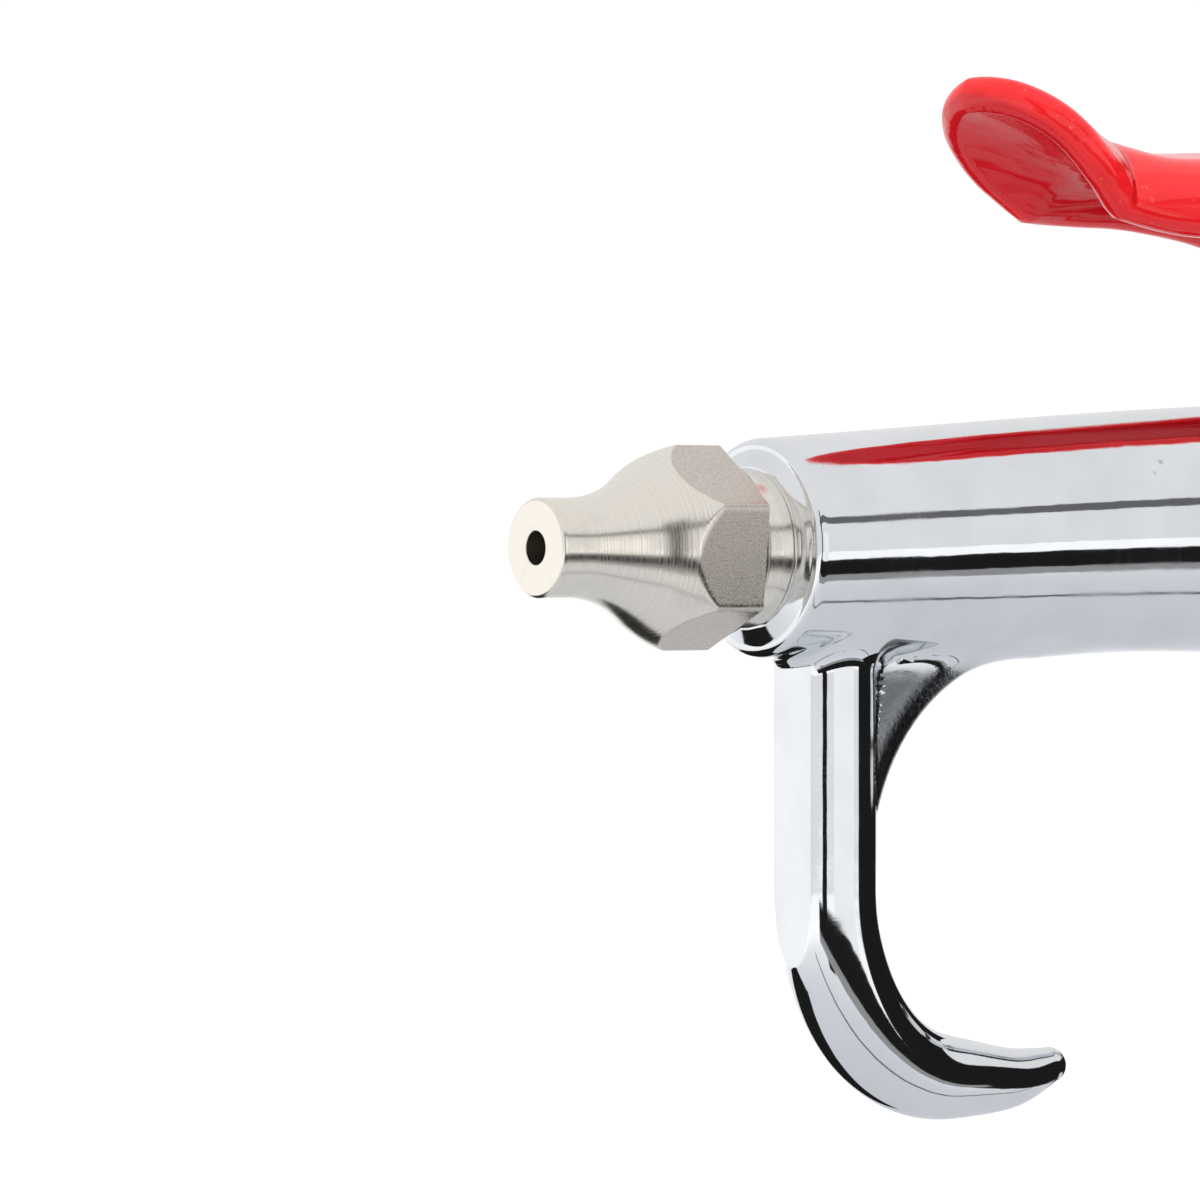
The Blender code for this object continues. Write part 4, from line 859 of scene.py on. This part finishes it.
def lathe_group():
    """Tool marks of a lathe: noise along the axis only, some fine and even, some deep and sparse."""
    tree, nodes, given, result = group("lathe_marks", [
        ("Along", "NodeSocketFloat", 0.0), ("Pitch", "NodeSocketFloat", 7000.0),
    ], ["Height", "Tone"])
    fine = nodes.add("ShaderNodeTexNoise", {
        "W": given.outputs["Along"], "Scale": given.outputs["Pitch"], "Detail": 3.0, "Roughness": 0.7,
    }, noise_dimensions="1D").outputs[0]
    slow = nodes.add("ShaderNodeTexNoise", {
        "W": given.outputs["Along"], "Scale": 900.0, "Detail": 2.0}, noise_dimensions="1D").outputs[0]
    nodes.tree.links.new(nodes.maths("MULTIPLY_ADD", slow, 0.8, fine), result.inputs["Height"])
    nodes.tree.links.new(nodes.between(fine, 0.35, 0.65), result.inputs["Tone"])
    return tree


lathe_marks = lathe_group()


def turned_metal(name, shade, along, rough, depth=2.2e-6, dull=None, dull_rough=0.4, mask=None):
    """Turned and plated metal. `along` picks the turning axis, `dull` is the shade of masked flats."""
    material, nodes = material_called(name)
    place = nodes.place()
    axis = nodes.add("ShaderNodeSeparateXYZ", {0: place}).outputs[along]
    marks = nodes.add("ShaderNodeGroup", {"Along": axis}, node_tree=lathe_marks)
    speckle = nodes.noise(place, 5200.0, 5.0, 0.7)
    stain = nodes.noise(place, 420.0, 4.0)
    darker = tuple(0.86 * c for c in shade)
    colour = nodes.blend(nodes.maths("MULTIPLY", marks.outputs["Tone"], 0.55), shade, darker)
    colour = nodes.blend(nodes.between(stain, 0.55, 0.75, 0.0, 0.5), colour, darker)
    roughness = nodes.maths("MULTIPLY_ADD", marks.outputs["Tone"], 0.10, rough)
    normal = nodes.bump(speckle, 1.2e-6, nodes.bump(marks.outputs["Height"], depth))
    if mask:
        flat = nodes.add("ShaderNodeAttribute", attribute_name=mask).outputs["Fac"]
        spotted = nodes.blend(nodes.between(speckle, 0.35, 0.68), tuple(0.72 * c for c in dull), dull)
        colour = nodes.blend(flat, colour, spotted)
        dulled = nodes.between(speckle, 0.3, 0.7, dull_rough - 0.08, dull_rough + 0.10)
        roughness = nodes.add("ShaderNodeMix", {"Factor": flat, 2: roughness, 3: dulled}).outputs[0]
        bar_bump = nodes.bump(speckle, 5.0e-6)
        mixed = nodes.add("ShaderNodeMix", {"Factor": flat, 4: normal, 5: bar_bump}, data_type="VECTOR")
        normal = mixed.outputs[1]
    nodes.surface("ShaderNodeBsdfPrincipled", {
        "Base Color": colour, "Metallic": 1.0, "Roughness": roughness, "Normal": normal})
    return material


NICKEL_SHADE = (0.93, 0.88, 0.80)
BAR_SHADE = (0.78, 0.72, 0.65)
nickel_nozzle = turned_metal(
    "nickel_nozzle", NICKEL_SHADE, 0, 0.15, 4.0e-6, dull=BAR_SHADE, dull_rough=0.22, mask="milled")
profile = nozzle_profile()
hex_angle, hex_within = hexagon_angles(36, NOZZLE_ROLL)
nozzle_out, on_flat = held_to_hexagon(profile, NOZZLE_FLATS, hex_within)
nozzle = piece_of(
    "nozzle_turned",
    [(turned_skin(profile, ALONG_X, (front_x, 0, 0), hex_angle, nozzle_out), False, True, 0)],
    [nickel_nozzle], masks={"milled": on_flat},
)
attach(nozzle, "body")
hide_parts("nozzle")

# ---------------------------------------------------------------- squeeze lever
# The lever is pressed from mild steel sheet: a channel over the hinge that opens into a spoon at its
# tip. Its front is dipped in red vinyl, which rounds every edge and shows soft runs in its gloss.

HINGE_BEHIND_VALVE = 0.0250
LEVER_HALF_WIDTH = 0.0062
LEVER_SHEET = 0.0010
LEVER_CORNER = 0.0030
LEVER_SPOON_CORNER = 0.0120
LEVER_TIP = 0.0901
LEVER_TAIL = 0.0060
LEVER_NOSE = 0.0111
LEVER_LEAN = radians(6.0)
SPOON_TILT = radians(14.0)                # the spoon turns back past upright by this less the lean
GRIP_GAP = 0.0003
GRIP_WALL = 0.0007
GRIP_LENGTH = 0.0601
SPOON_START = 0.0700
SPOON_RUN = 0.0200
# The painted shade on the vinyl's hollow face starts and fades in over these columns.
HOLLOW_SHADE_START = 4.0                        # in columns from the coat's edge
HOLLOW_SHADE_FADE = 14.0
TAIL_CORNER = 0.0030
TAIL_FLAT = 0.0002                        # the blank's rear edge is straight, and its corners are
TAIL_DRAW = 0.0028                        # rounded in by this
WEB_LINE = np.array([
    # ahead of the hinge, height above the hinge
    (-LEVER_TAIL, 0.0046), (0.0, 0.0057), (0.0120, 0.0078), (HINGE_BEHIND_VALVE, 0.0103),
    (0.0420, 0.0137), (0.0520, 0.0151), (0.0600, 0.0156), (0.0670, 0.0153), (0.0726, 0.0152),
    (0.0767, 0.0160), (0.0808, 0.0174), (0.0850, 0.0192), (0.0880, 0.0202), (LEVER_TIP, 0.0207),
])
BLANK_LINE = np.array([
    # ahead of the hinge, half width of the flat blank
    (-LEVER_TAIL, 0.0120), (0.0, 0.0128), (HINGE_BEHIND_VALVE, 0.0126), (0.0420, 0.0124),
    (0.0520, 0.0117), (0.0600, 0.0105), (0.0670, 0.0092), (0.0726, 0.0086), (0.0767, 0.0083),
    (0.0808, 0.0079), (LEVER_TIP, 0.0079),
])


def lever_middle(ahead, along):
    """The middle surface of the bent sheet at a place on the flat blank.

    Across, the blank is flat, then an arc of the corner's radius, then straight down. Lengthwise, it
    follows the web's line, square to it. Ahead of the valve the section leans over by a few degrees;
    the spoon opens to a wide shallow arc and tilts the other way.
    """
    line = WEB_LINE[:, 0], WEB_LINE[:, 1]
    height = hinge_z + fair(*line, ahead)
    step = 0.0005
    rise = fair(*line, ahead + step) - fair(*line, ahead - step)
    slope = np.arctan2(rise, 2 * step)
    opened = ease((ahead - SPOON_START) / SPOON_RUN)
    corner = LEVER_CORNER + (LEVER_SPOON_CORNER - LEVER_CORNER) * opened
    flat = np.maximum(LEVER_HALF_WIDTH - corner, 0.0)
    settled = (ahead - HINGE_BEHIND_VALVE) / (LEVER_TIP - HINGE_BEHIND_VALVE) * 2
    lean = LEVER_LEAN * ease(settled) - SPOON_TILT * opened
    far = np.abs(along)
    bent = np.clip(far - flat, 0.0, corner * pi / 2)
    across = (np.minimum(far, flat) + corner * np.sin(bent / corner)) * np.sign(along)
    down = corner * (1 - np.cos(bent / corner)) + np.maximum(0.0, far - flat - corner * pi / 2)
    across, down = across * np.cos(lean) + down * np.sin(lean), down * np.cos(lean) - across * np.sin(lean)
    return np.stack([hinge_x - ahead - down * np.sin(slope), across, height - down * np.cos(slope)], axis=-1)


def blank_half_width(ahead, edge):
    """Half width of the blank let out by `edge`: its line, closed by an ellipse at the nose."""
    nose = LEVER_NOSE + edge
    fade = np.clip((LEVER_TIP + edge - ahead) / nose, 0.0, 1.0)
    tail = np.clip((ahead + LEVER_TAIL + TAIL_FLAT) / TAIL_CORNER, 0.0, 1.0)
    full = fair(BLANK_LINE[:, 0], BLANK_LINE[:, 1], ahead) + edge
    full = full - TAIL_DRAW * (1 - np.sqrt(1 - (1 - tail) ** 2))
    return full * np.sqrt(1 - (1 - fade) ** 2)


def lever_skin(edge, half_thickness, edge_round, rear, rows, columns):
    """Both faces of the sheet or coat: its middle surface plus and minus its thickness on the normal.

    The thickness falls to nothing at the outline along a quarter circle of the edge's rounding, so the
    faces meet there. Rows gather towards the nose and columns towards the edges.
    """
    nose = LEVER_NOSE + edge
    turn = np.linspace(0.0, pi / 2, rows // 3, endpoint=False)
    ahead = LEVER_TIP + edge - nose * (1 - np.cos(turn))
    run = LEVER_TIP - LEVER_NOSE - rear
    back = LEVER_TIP - LEVER_NOSE - run * np.sin(pi / 2 * np.linspace(0.0, 1.0, rows - rows // 3))
    ahead = np.concatenate([ahead, back])[:, None]
    share = np.sin(pi / 2 * np.linspace(-1.0, 1.0, columns))[None, :]
    half = blank_half_width(ahead, edge)
    along = half * share
    step = 0.00002
    middle = lever_middle(ahead, along)
    lengthwise = lever_middle(ahead + step, along) - lever_middle(ahead - step, along)
    crosswise = lever_middle(ahead, along + step) - lever_middle(ahead, along - step)
    normal = np.cross(crosswise, lengthwise)
    normal /= np.linalg.norm(normal, axis=-1, keepdims=True)
    widening = (half - blank_half_width(ahead + step, edge)) / step
    inward = (half - np.abs(along)) / np.sqrt(1 + widening**2)
    inward = np.minimum(inward, ahead - rear)
    share_in = np.clip(inward / edge_round, 0.0, 1.0)
    thick = half_thickness * np.sqrt(1 - (1 - share_in) ** 2)[..., None]
    upper, lower = middle + thick * normal, middle - thick * normal
    return np.concatenate([upper, lower[:, ::-1]], axis=1)


def hollow_shade_mask(skin):
    """Where the vinyl's painted shade goes: one on the hollow face of a lever skin, easing to nought over the
    columns next to its edge.
    """
    half = skin.shape[1] // 2
    from_edge = np.minimum(np.arange(half), np.arange(half)[::-1])
    inner = ease((from_edge - HOLLOW_SHADE_START) / HOLLOW_SHADE_FADE)
    return np.broadcast_to(np.concatenate([np.zeros(half), inner]), skin.shape[:2])


def red_vinyl():
    """Glossy dipped vinyl: deep red, with long soft runs, fine dust marks, a thin clear surface and a darker
    red painted shade on the hollow face.
    """
    material, nodes = material_called("red_vinyl")
    place = nodes.place()
    drawn = nodes.add("ShaderNodeMapping", {
        "Vector": place, "Scale": (60.0, 420.0, 420.0), "Rotation": (0.0, radians(-14.0), 0.0)}).outputs[0]
    runs = nodes.add("ShaderNodeTexNoise", {
        "Vector": drawn, "Scale": 1.0, "Detail": 2.0, "Distortion": 0.6}).outputs[0]
    dust = nodes.noise(place, 2400.0, 3.0)
    specks = nodes.between(dust, 0.66, 0.74)
    depth = nodes.between(runs, 0.35, 0.65)
    colour = nodes.blend(depth, (0.90, 0.008, 0.013), (0.98, 0.016, 0.022))
    colour = nodes.blend(nodes.maths("MULTIPLY", specks, 0.35), colour, (1.0, 0.30, 0.32))
    # Painted shade: the hollow face under the lever is coloured a darker red.
    inner = nodes.add("ShaderNodeAttribute", attribute_name="hollow").outputs["Fac"]
    colour = nodes.blend(nodes.maths("MULTIPLY", inner, 0.85), colour, (0.72, 0.008, 0.016))
    swell = nodes.bump(runs, 2.6e-4, strength=0.55)
    nodes.surface("ShaderNodeBsdfPrincipled", {
        "Base Color": colour, "Roughness": nodes.maths("MULTIPLY_ADD", specks, 0.2, 0.13),
        "Normal": nodes.bump(dust, 1.6e-6, swell), "IOR": 1.52})
    return material


coat_edge = GRIP_GAP + GRIP_WALL
coat_half = LEVER_SHEET / 2 + coat_edge
coat_skin = lever_skin(coat_edge, coat_half, coat_half, LEVER_TIP - GRIP_LENGTH, 240, 130)
# The hollow mask marks where the vinyl gets its painted shade.
grip = piece_of(
    "lever_coat", [(coat_skin, False, True, 0)], [red_vinyl()],
    masks={"hollow": hollow_shade_mask(coat_skin)}, crease=pi,
)
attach(grip, "lever")
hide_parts("lever_grip")

STEEL_SHADE = (0.66, 0.68, 0.70)
plated_sheet = turned_metal("plated_sheet", STEEL_SHADE, 0, 0.24, depth=0.8e-6)
arm = piece_of("lever_sheet", [
    (lever_skin(0.0, LEVER_SHEET / 2, 0.00016, -LEVER_TAIL, 240, 130), False, True, 0),
], [plated_sheet])
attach(arm, "lever")
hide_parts("lever_arm")

# ---------------------------------------------------------------- hinge
# A headed steel pin goes through the lever and the lug, and a sprung clip in its groove keeps it
# there. A thin nylon washer on each side of the lug keeps the lever from scraping the plating.

PIN_RADIUS = 0.0020
PIN_HEAD_RADIUS = 0.0033
PIN_HEAD_THICKNESS = 0.0010
WASHER_HOLE_RADIUS = 0.0023
PIN_END_ROUND = 0.0004

plated_pin = turned_metal("plated_pin", STEEL_SHADE, 1, 0.18)
pin_profile = dressed([
    (0.0, pin_high[1], 0), (PIN_RADIUS, pin_high[1], PIN_END_ROUND),
    (PIN_RADIUS, pin_low[1] + PIN_HEAD_THICKNESS, 0.0001),
    (PIN_HEAD_RADIUS, pin_low[1] + PIN_HEAD_THICKNESS, 0.0001),
    (PIN_HEAD_RADIUS, pin_low[1], 0.0006), (0.0, pin_low[1], 0),
])
pin = piece_of("hinge_pin_turned", [
    (turned_skin(pin_profile, ALONG_Y, (hinge_x, 0, hinge_z)), False, True, 0),
], [plated_pin])
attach(pin, "body")
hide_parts("hinge_pin")


def moulded(name, shade, rough, grain=2.0e-6):
    """Moulded rubber or nylon: a matt skin with fine grain and faint lighter scuffs."""
    material, nodes = material_called(name)
    place = nodes.place()
    skin = nodes.noise(place, 6000.0, 4.0)
    scuff = nodes.noise(place, 700.0, 5.0)
    lighter = tuple(min(1.0, 1.25 * c + 0.01) for c in shade)
    colour = nodes.blend(nodes.between(scuff, 0.45, 0.7), shade, lighter)
    nodes.surface("ShaderNodeBsdfPrincipled", {
        "Base Color": colour, "Roughness": nodes.between(scuff, 0.3, 0.7, rough, rough + 0.15),
        "Normal": nodes.bump(skin, grain)})
    return material


def flat_ring(name, node, axes, inner, rounding, finish):
    """A flat washer in its node's box, with its edges rounded."""
    low, high = box_of(node)
    middle, size = (low + high) / 2, high - low
    across = int(np.argmin(size))
    outer = size[(across + 1) % 3] / 2
    bottom, top = low[across], high[across]
    place = middle * (np.arange(3) != across)
    outline = dressed([
        (inner, (bottom + top) / 2, 0), (inner, bottom, rounding), (outer, bottom, rounding),
        (outer, top, rounding), (inner, top, rounding), (inner, (bottom + top) / 2, 0),
    ])[:-1]
    ring = piece_of(name, [(turned_skin(outline, axes, place), True, True, 0)], [finish])
    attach(ring, "body")
    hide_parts(node)
    return ring


nylon = moulded("nylon", (0.80, 0.79, 0.74), 0.42)
for hand in ("left", "right"):
    flat_ring(
        "pin_washer_" + hand, "hinge_washer_" + hand, ALONG_Y, WASHER_HOLE_RADIUS, 0.0001,
        nylon,
    )

# ---------------------------------------------------------------- valve
# A steel stem stands in a brass guide nut under the lever. Below, a nickel-plated hexagon cap with a
# rubber washer closes the chamber over the poppet and its spring.

STEM_RADIUS = 0.0016
STEM_DOME_RADIUS = 0.0032
STEM_TAIL_RADIUS = 0.0012
STEM_TAIL_LENGTH = 0.0060
GUIDE_FLATS = 0.0086
GUIDE_HEAD_LENGTH = 0.0030
GUIDE_HOLE_RADIUS = 0.0018
GUIDE_THREAD_RADIUS = 0.0036
CAP_FLATS = 0.0160
CAP_HEAD_LENGTH = 0.0045
CAP_WASHER_HOLE = 0.0072
CAP_THREAD_RADIUS = 0.0069
CAP_CHAMFER = 0.0009
CAP_DIMPLE_RADIUS = 0.0030
CAP_DIMPLE_DEPTH = 0.0004


def hexagon_piece(name, outline, flats, place, axes, roll, finish):
    """A turned outline held to a hexagon, closed on the axis or as a ring."""
    made = dressed(outline)
    ring = closed_rows(made)
    angle, within = hexagon_angles(30, roll)
    out, _ = held_to_hexagon(made, flats, within)
    return piece_of(name, [(turned_skin(made, axes, place, angle, out), ring, True, 0)], [finish])


stem_low, stem_high = box_of("valve_stem")
dome = np.linspace(0.0, np.arcsin(STEM_RADIUS / STEM_DOME_RADIUS) * 0.86, 12)
dome_top = stem_high[2] - STEM_DOME_RADIUS
stem_profile = np.concatenate([
    np.stack([STEM_DOME_RADIUS * np.sin(dome), dome_top + STEM_DOME_RADIUS * np.cos(dome)], axis=-1),
    dressed([
        (STEM_RADIUS * 0.93, stem_high[2] - 0.00042, 0), (STEM_RADIUS, stem_high[2] - 0.0007, 0.0003),
        (STEM_RADIUS, stem_low[2] + STEM_TAIL_LENGTH, 0.0001),
        (STEM_TAIL_RADIUS, stem_low[2] + STEM_TAIL_LENGTH, 0.0001),
        (STEM_TAIL_RADIUS, stem_low[2], 0.0002), (0.0, stem_low[2], 0),
    ]),
])
stem = piece_of("valve_stem_turned", [
    (turned_skin(stem_profile, ALONG_Z, (valve_x, 0, 0)), False, True, 0),
], [turned_metal("plated_stem", STEEL_SHADE, 2, 0.15)])
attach(stem, "stem")
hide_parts("valve_stem")

BRASS_SHADE = (0.76, 0.58, 0.28)
guide_low, guide_high = box_of("stem_guide_nut")
guide_corner = hexagon_corner(GUIDE_FLATS)
head_bottom = guide_high[2] - GUIDE_HEAD_LENGTH
turned_brass = turned_metal("turned_brass", BRASS_SHADE, 2, 0.20)
guide = hexagon_piece("guide_nut_turned", [
    (GUIDE_HOLE_RADIUS, guide_high[2] - 0.001, 0), (GUIDE_HOLE_RADIUS, guide_high[2], 0.0002),
    (GUIDE_FLATS / 2 - 0.0002, guide_high[2], 0.0001),
    (guide_corner + BAR_SPARE, guide_high[2] - HEX_CHAMFER, 0.0001),
    (guide_corner + BAR_SPARE, head_bottom, 0.0001), (GUIDE_THREAD_RADIUS, head_bottom, 0.0001),
    (GUIDE_THREAD_RADIUS, guide_low[2], 0.0002),
    (GUIDE_HOLE_RADIUS, guide_low[2], 0.0001), (GUIDE_HOLE_RADIUS, guide_high[2] - 0.001, 0),
], GUIDE_FLATS, (valve_x, 0, 0), ALONG_Z, pi / 2, turned_brass)
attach(guide, "body")
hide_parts("stem_guide_nut")

cap_low, cap_high = box_of("valve_cap")
cap_corner = hexagon_corner(CAP_FLATS)
cap_top = cap_low[2] + CAP_HEAD_LENGTH
nickel_cap = turned_metal("nickel_cap", NICKEL_SHADE, 2, 0.16)
cap = hexagon_piece("valve_cap_turned", [
    (0.0, cap_high[2], 0), (CAP_THREAD_RADIUS, cap_high[2], 0.0003), (CAP_THREAD_RADIUS, cap_top, 0.0001),
    (cap_corner + BAR_SPARE, cap_top, 0.0001), (cap_corner + BAR_SPARE, cap_low[2] + CAP_CHAMFER, 0.0001),
    (CAP_FLATS / 2 - 0.0004, cap_low[2], 0.0002), (CAP_DIMPLE_RADIUS, cap_low[2], 0.0001),
    (CAP_DIMPLE_RADIUS - CAP_DIMPLE_DEPTH, cap_low[2] + CAP_DIMPLE_DEPTH, 0.0001),
    (0.0, cap_low[2] + CAP_DIMPLE_DEPTH, 0),
], CAP_FLATS, (valve_x, 0, 0), ALONG_Z, 0.0, nickel_cap)
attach(cap, "body")
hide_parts("valve_cap")

black_rubber = moulded("black_rubber", (0.022, 0.022, 0.024), 0.50)
flat_ring("cap_seal_washer", "cap_washer", ALONG_Z, CAP_WASHER_HOLE, 0.0003, black_rubber)

# ---------------------------------------------------------------- air inlet
# A nickel-plated brass bush with a hexagon head screws into the rear of the body on a rubber washer.
# Its bore is threaded for a hose coupling.

INLET_FLATS = 0.0190
INLET_HEAD_LENGTH = 0.0080
INLET_BORE_RADIUS = 0.0059
INLET_BORE_DEPTH = 0.0115
INLET_THREAD_RADIUS = 0.0079
THREAD_PITCH = 0.001337
THREAD_DEPTH = 0.00060
THREAD_START = 0.0005
THREAD_RUN_IN = 0.0008
INLET_CHAMFER = 0.0011
WASHER_INNER = 0.0082

inlet_low = box_of("inlet_bush")[0]
inlet_corner = hexagon_corner(INLET_FLATS)
outer = dressed([
    (0.0, inlet_low[0], 0), (INLET_THREAD_RADIUS, inlet_low[0], 0.0003),
    (INLET_THREAD_RADIUS, -INLET_HEAD_LENGTH, 0.0001), (INLET_FLATS / 2 + 0.0001, -INLET_HEAD_LENGTH, 0.0001),
    (inlet_corner + BAR_SPARE, -INLET_HEAD_LENGTH + 0.0008, 0.0001),
    (inlet_corner + BAR_SPARE, -INLET_CHAMFER, 0.0001),
    (INLET_FLATS / 2 - 0.0003, 0.0, 0.0002), (INLET_BORE_RADIUS + 0.0009, 0.0, 0.0001),
    (INLET_BORE_RADIUS + 0.0005, -0.0004, 0),
])
inlet_angle, inlet_within = hexagon_angles(30)
outer_radius, inlet_flat = held_to_hexagon(outer, INLET_FLATS, inlet_within)
depth = np.linspace(THREAD_START, INLET_BORE_DEPTH, 180)[:, None]
turn_share = (depth / THREAD_PITCH + inlet_angle[None, :] / (2 * pi)) % 1.0
groove = THREAD_DEPTH * (1 - np.abs(2 * turn_share - 1)) * ease((depth - THREAD_START) / THREAD_RUN_IN)
bore = INLET_BORE_RADIUS + groove
outer_skin = turned_skin(outer, ALONG_X, (0, 0, 0), inlet_angle, outer_radius)
bore_skin = np.stack([
    np.broadcast_to(-depth, bore.shape), bore * np.cos(inlet_angle), bore * np.sin(inlet_angle)], axis=-1)
bottom = np.broadcast_to(np.array([-INLET_BORE_DEPTH, 0.0, 0.0]), bore_skin[:1].shape)
nickel_inlet = turned_metal("nickel_inlet", NICKEL_SHADE, 0, 0.16, dull=(0.70, 0.65, 0.58), dull_rough=0.24,
                            mask="milled")
masks = np.concatenate([inlet_flat, np.zeros((len(bore_skin) + 1, len(inlet_angle)))])
inlet = piece_of("inlet_bush_turned", [
    (np.concatenate([outer_skin, bore_skin, bottom]), False, True, 0),
], [nickel_inlet], masks={"milled": masks})
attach(inlet, "body")
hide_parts("inlet_bush")
flat_ring("inlet_seal_washer", "inlet_washer", ALONG_X, WASHER_INNER, 0.0003, black_rubber)

# ---------------------------------------------------------------- pieces inside
# The brass seat and poppet, its rubber face and nut, the coiled spring, the rubber rings and the pin's
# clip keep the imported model's shapes. They are turned, wound, stamped or moulded as their names say.

spring_wire = turned_metal("spring_wire", (0.58, 0.59, 0.60), 2, 0.25)
INSIDE = {
    "valve_seat": turned_brass, "valve_poppet": turned_brass, "valve_seal": black_rubber,
    "poppet_nut": plated_pin, "valve_spring": spring_wire, "nozzle_seal": black_rubber,
    "stem_seal": black_rubber, "pin_clip": plated_pin,
}
for node_name, node_finish in INSIDE.items():
    node_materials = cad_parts[node_name].data.materials
    node_materials.clear()
    node_materials.append(node_finish)
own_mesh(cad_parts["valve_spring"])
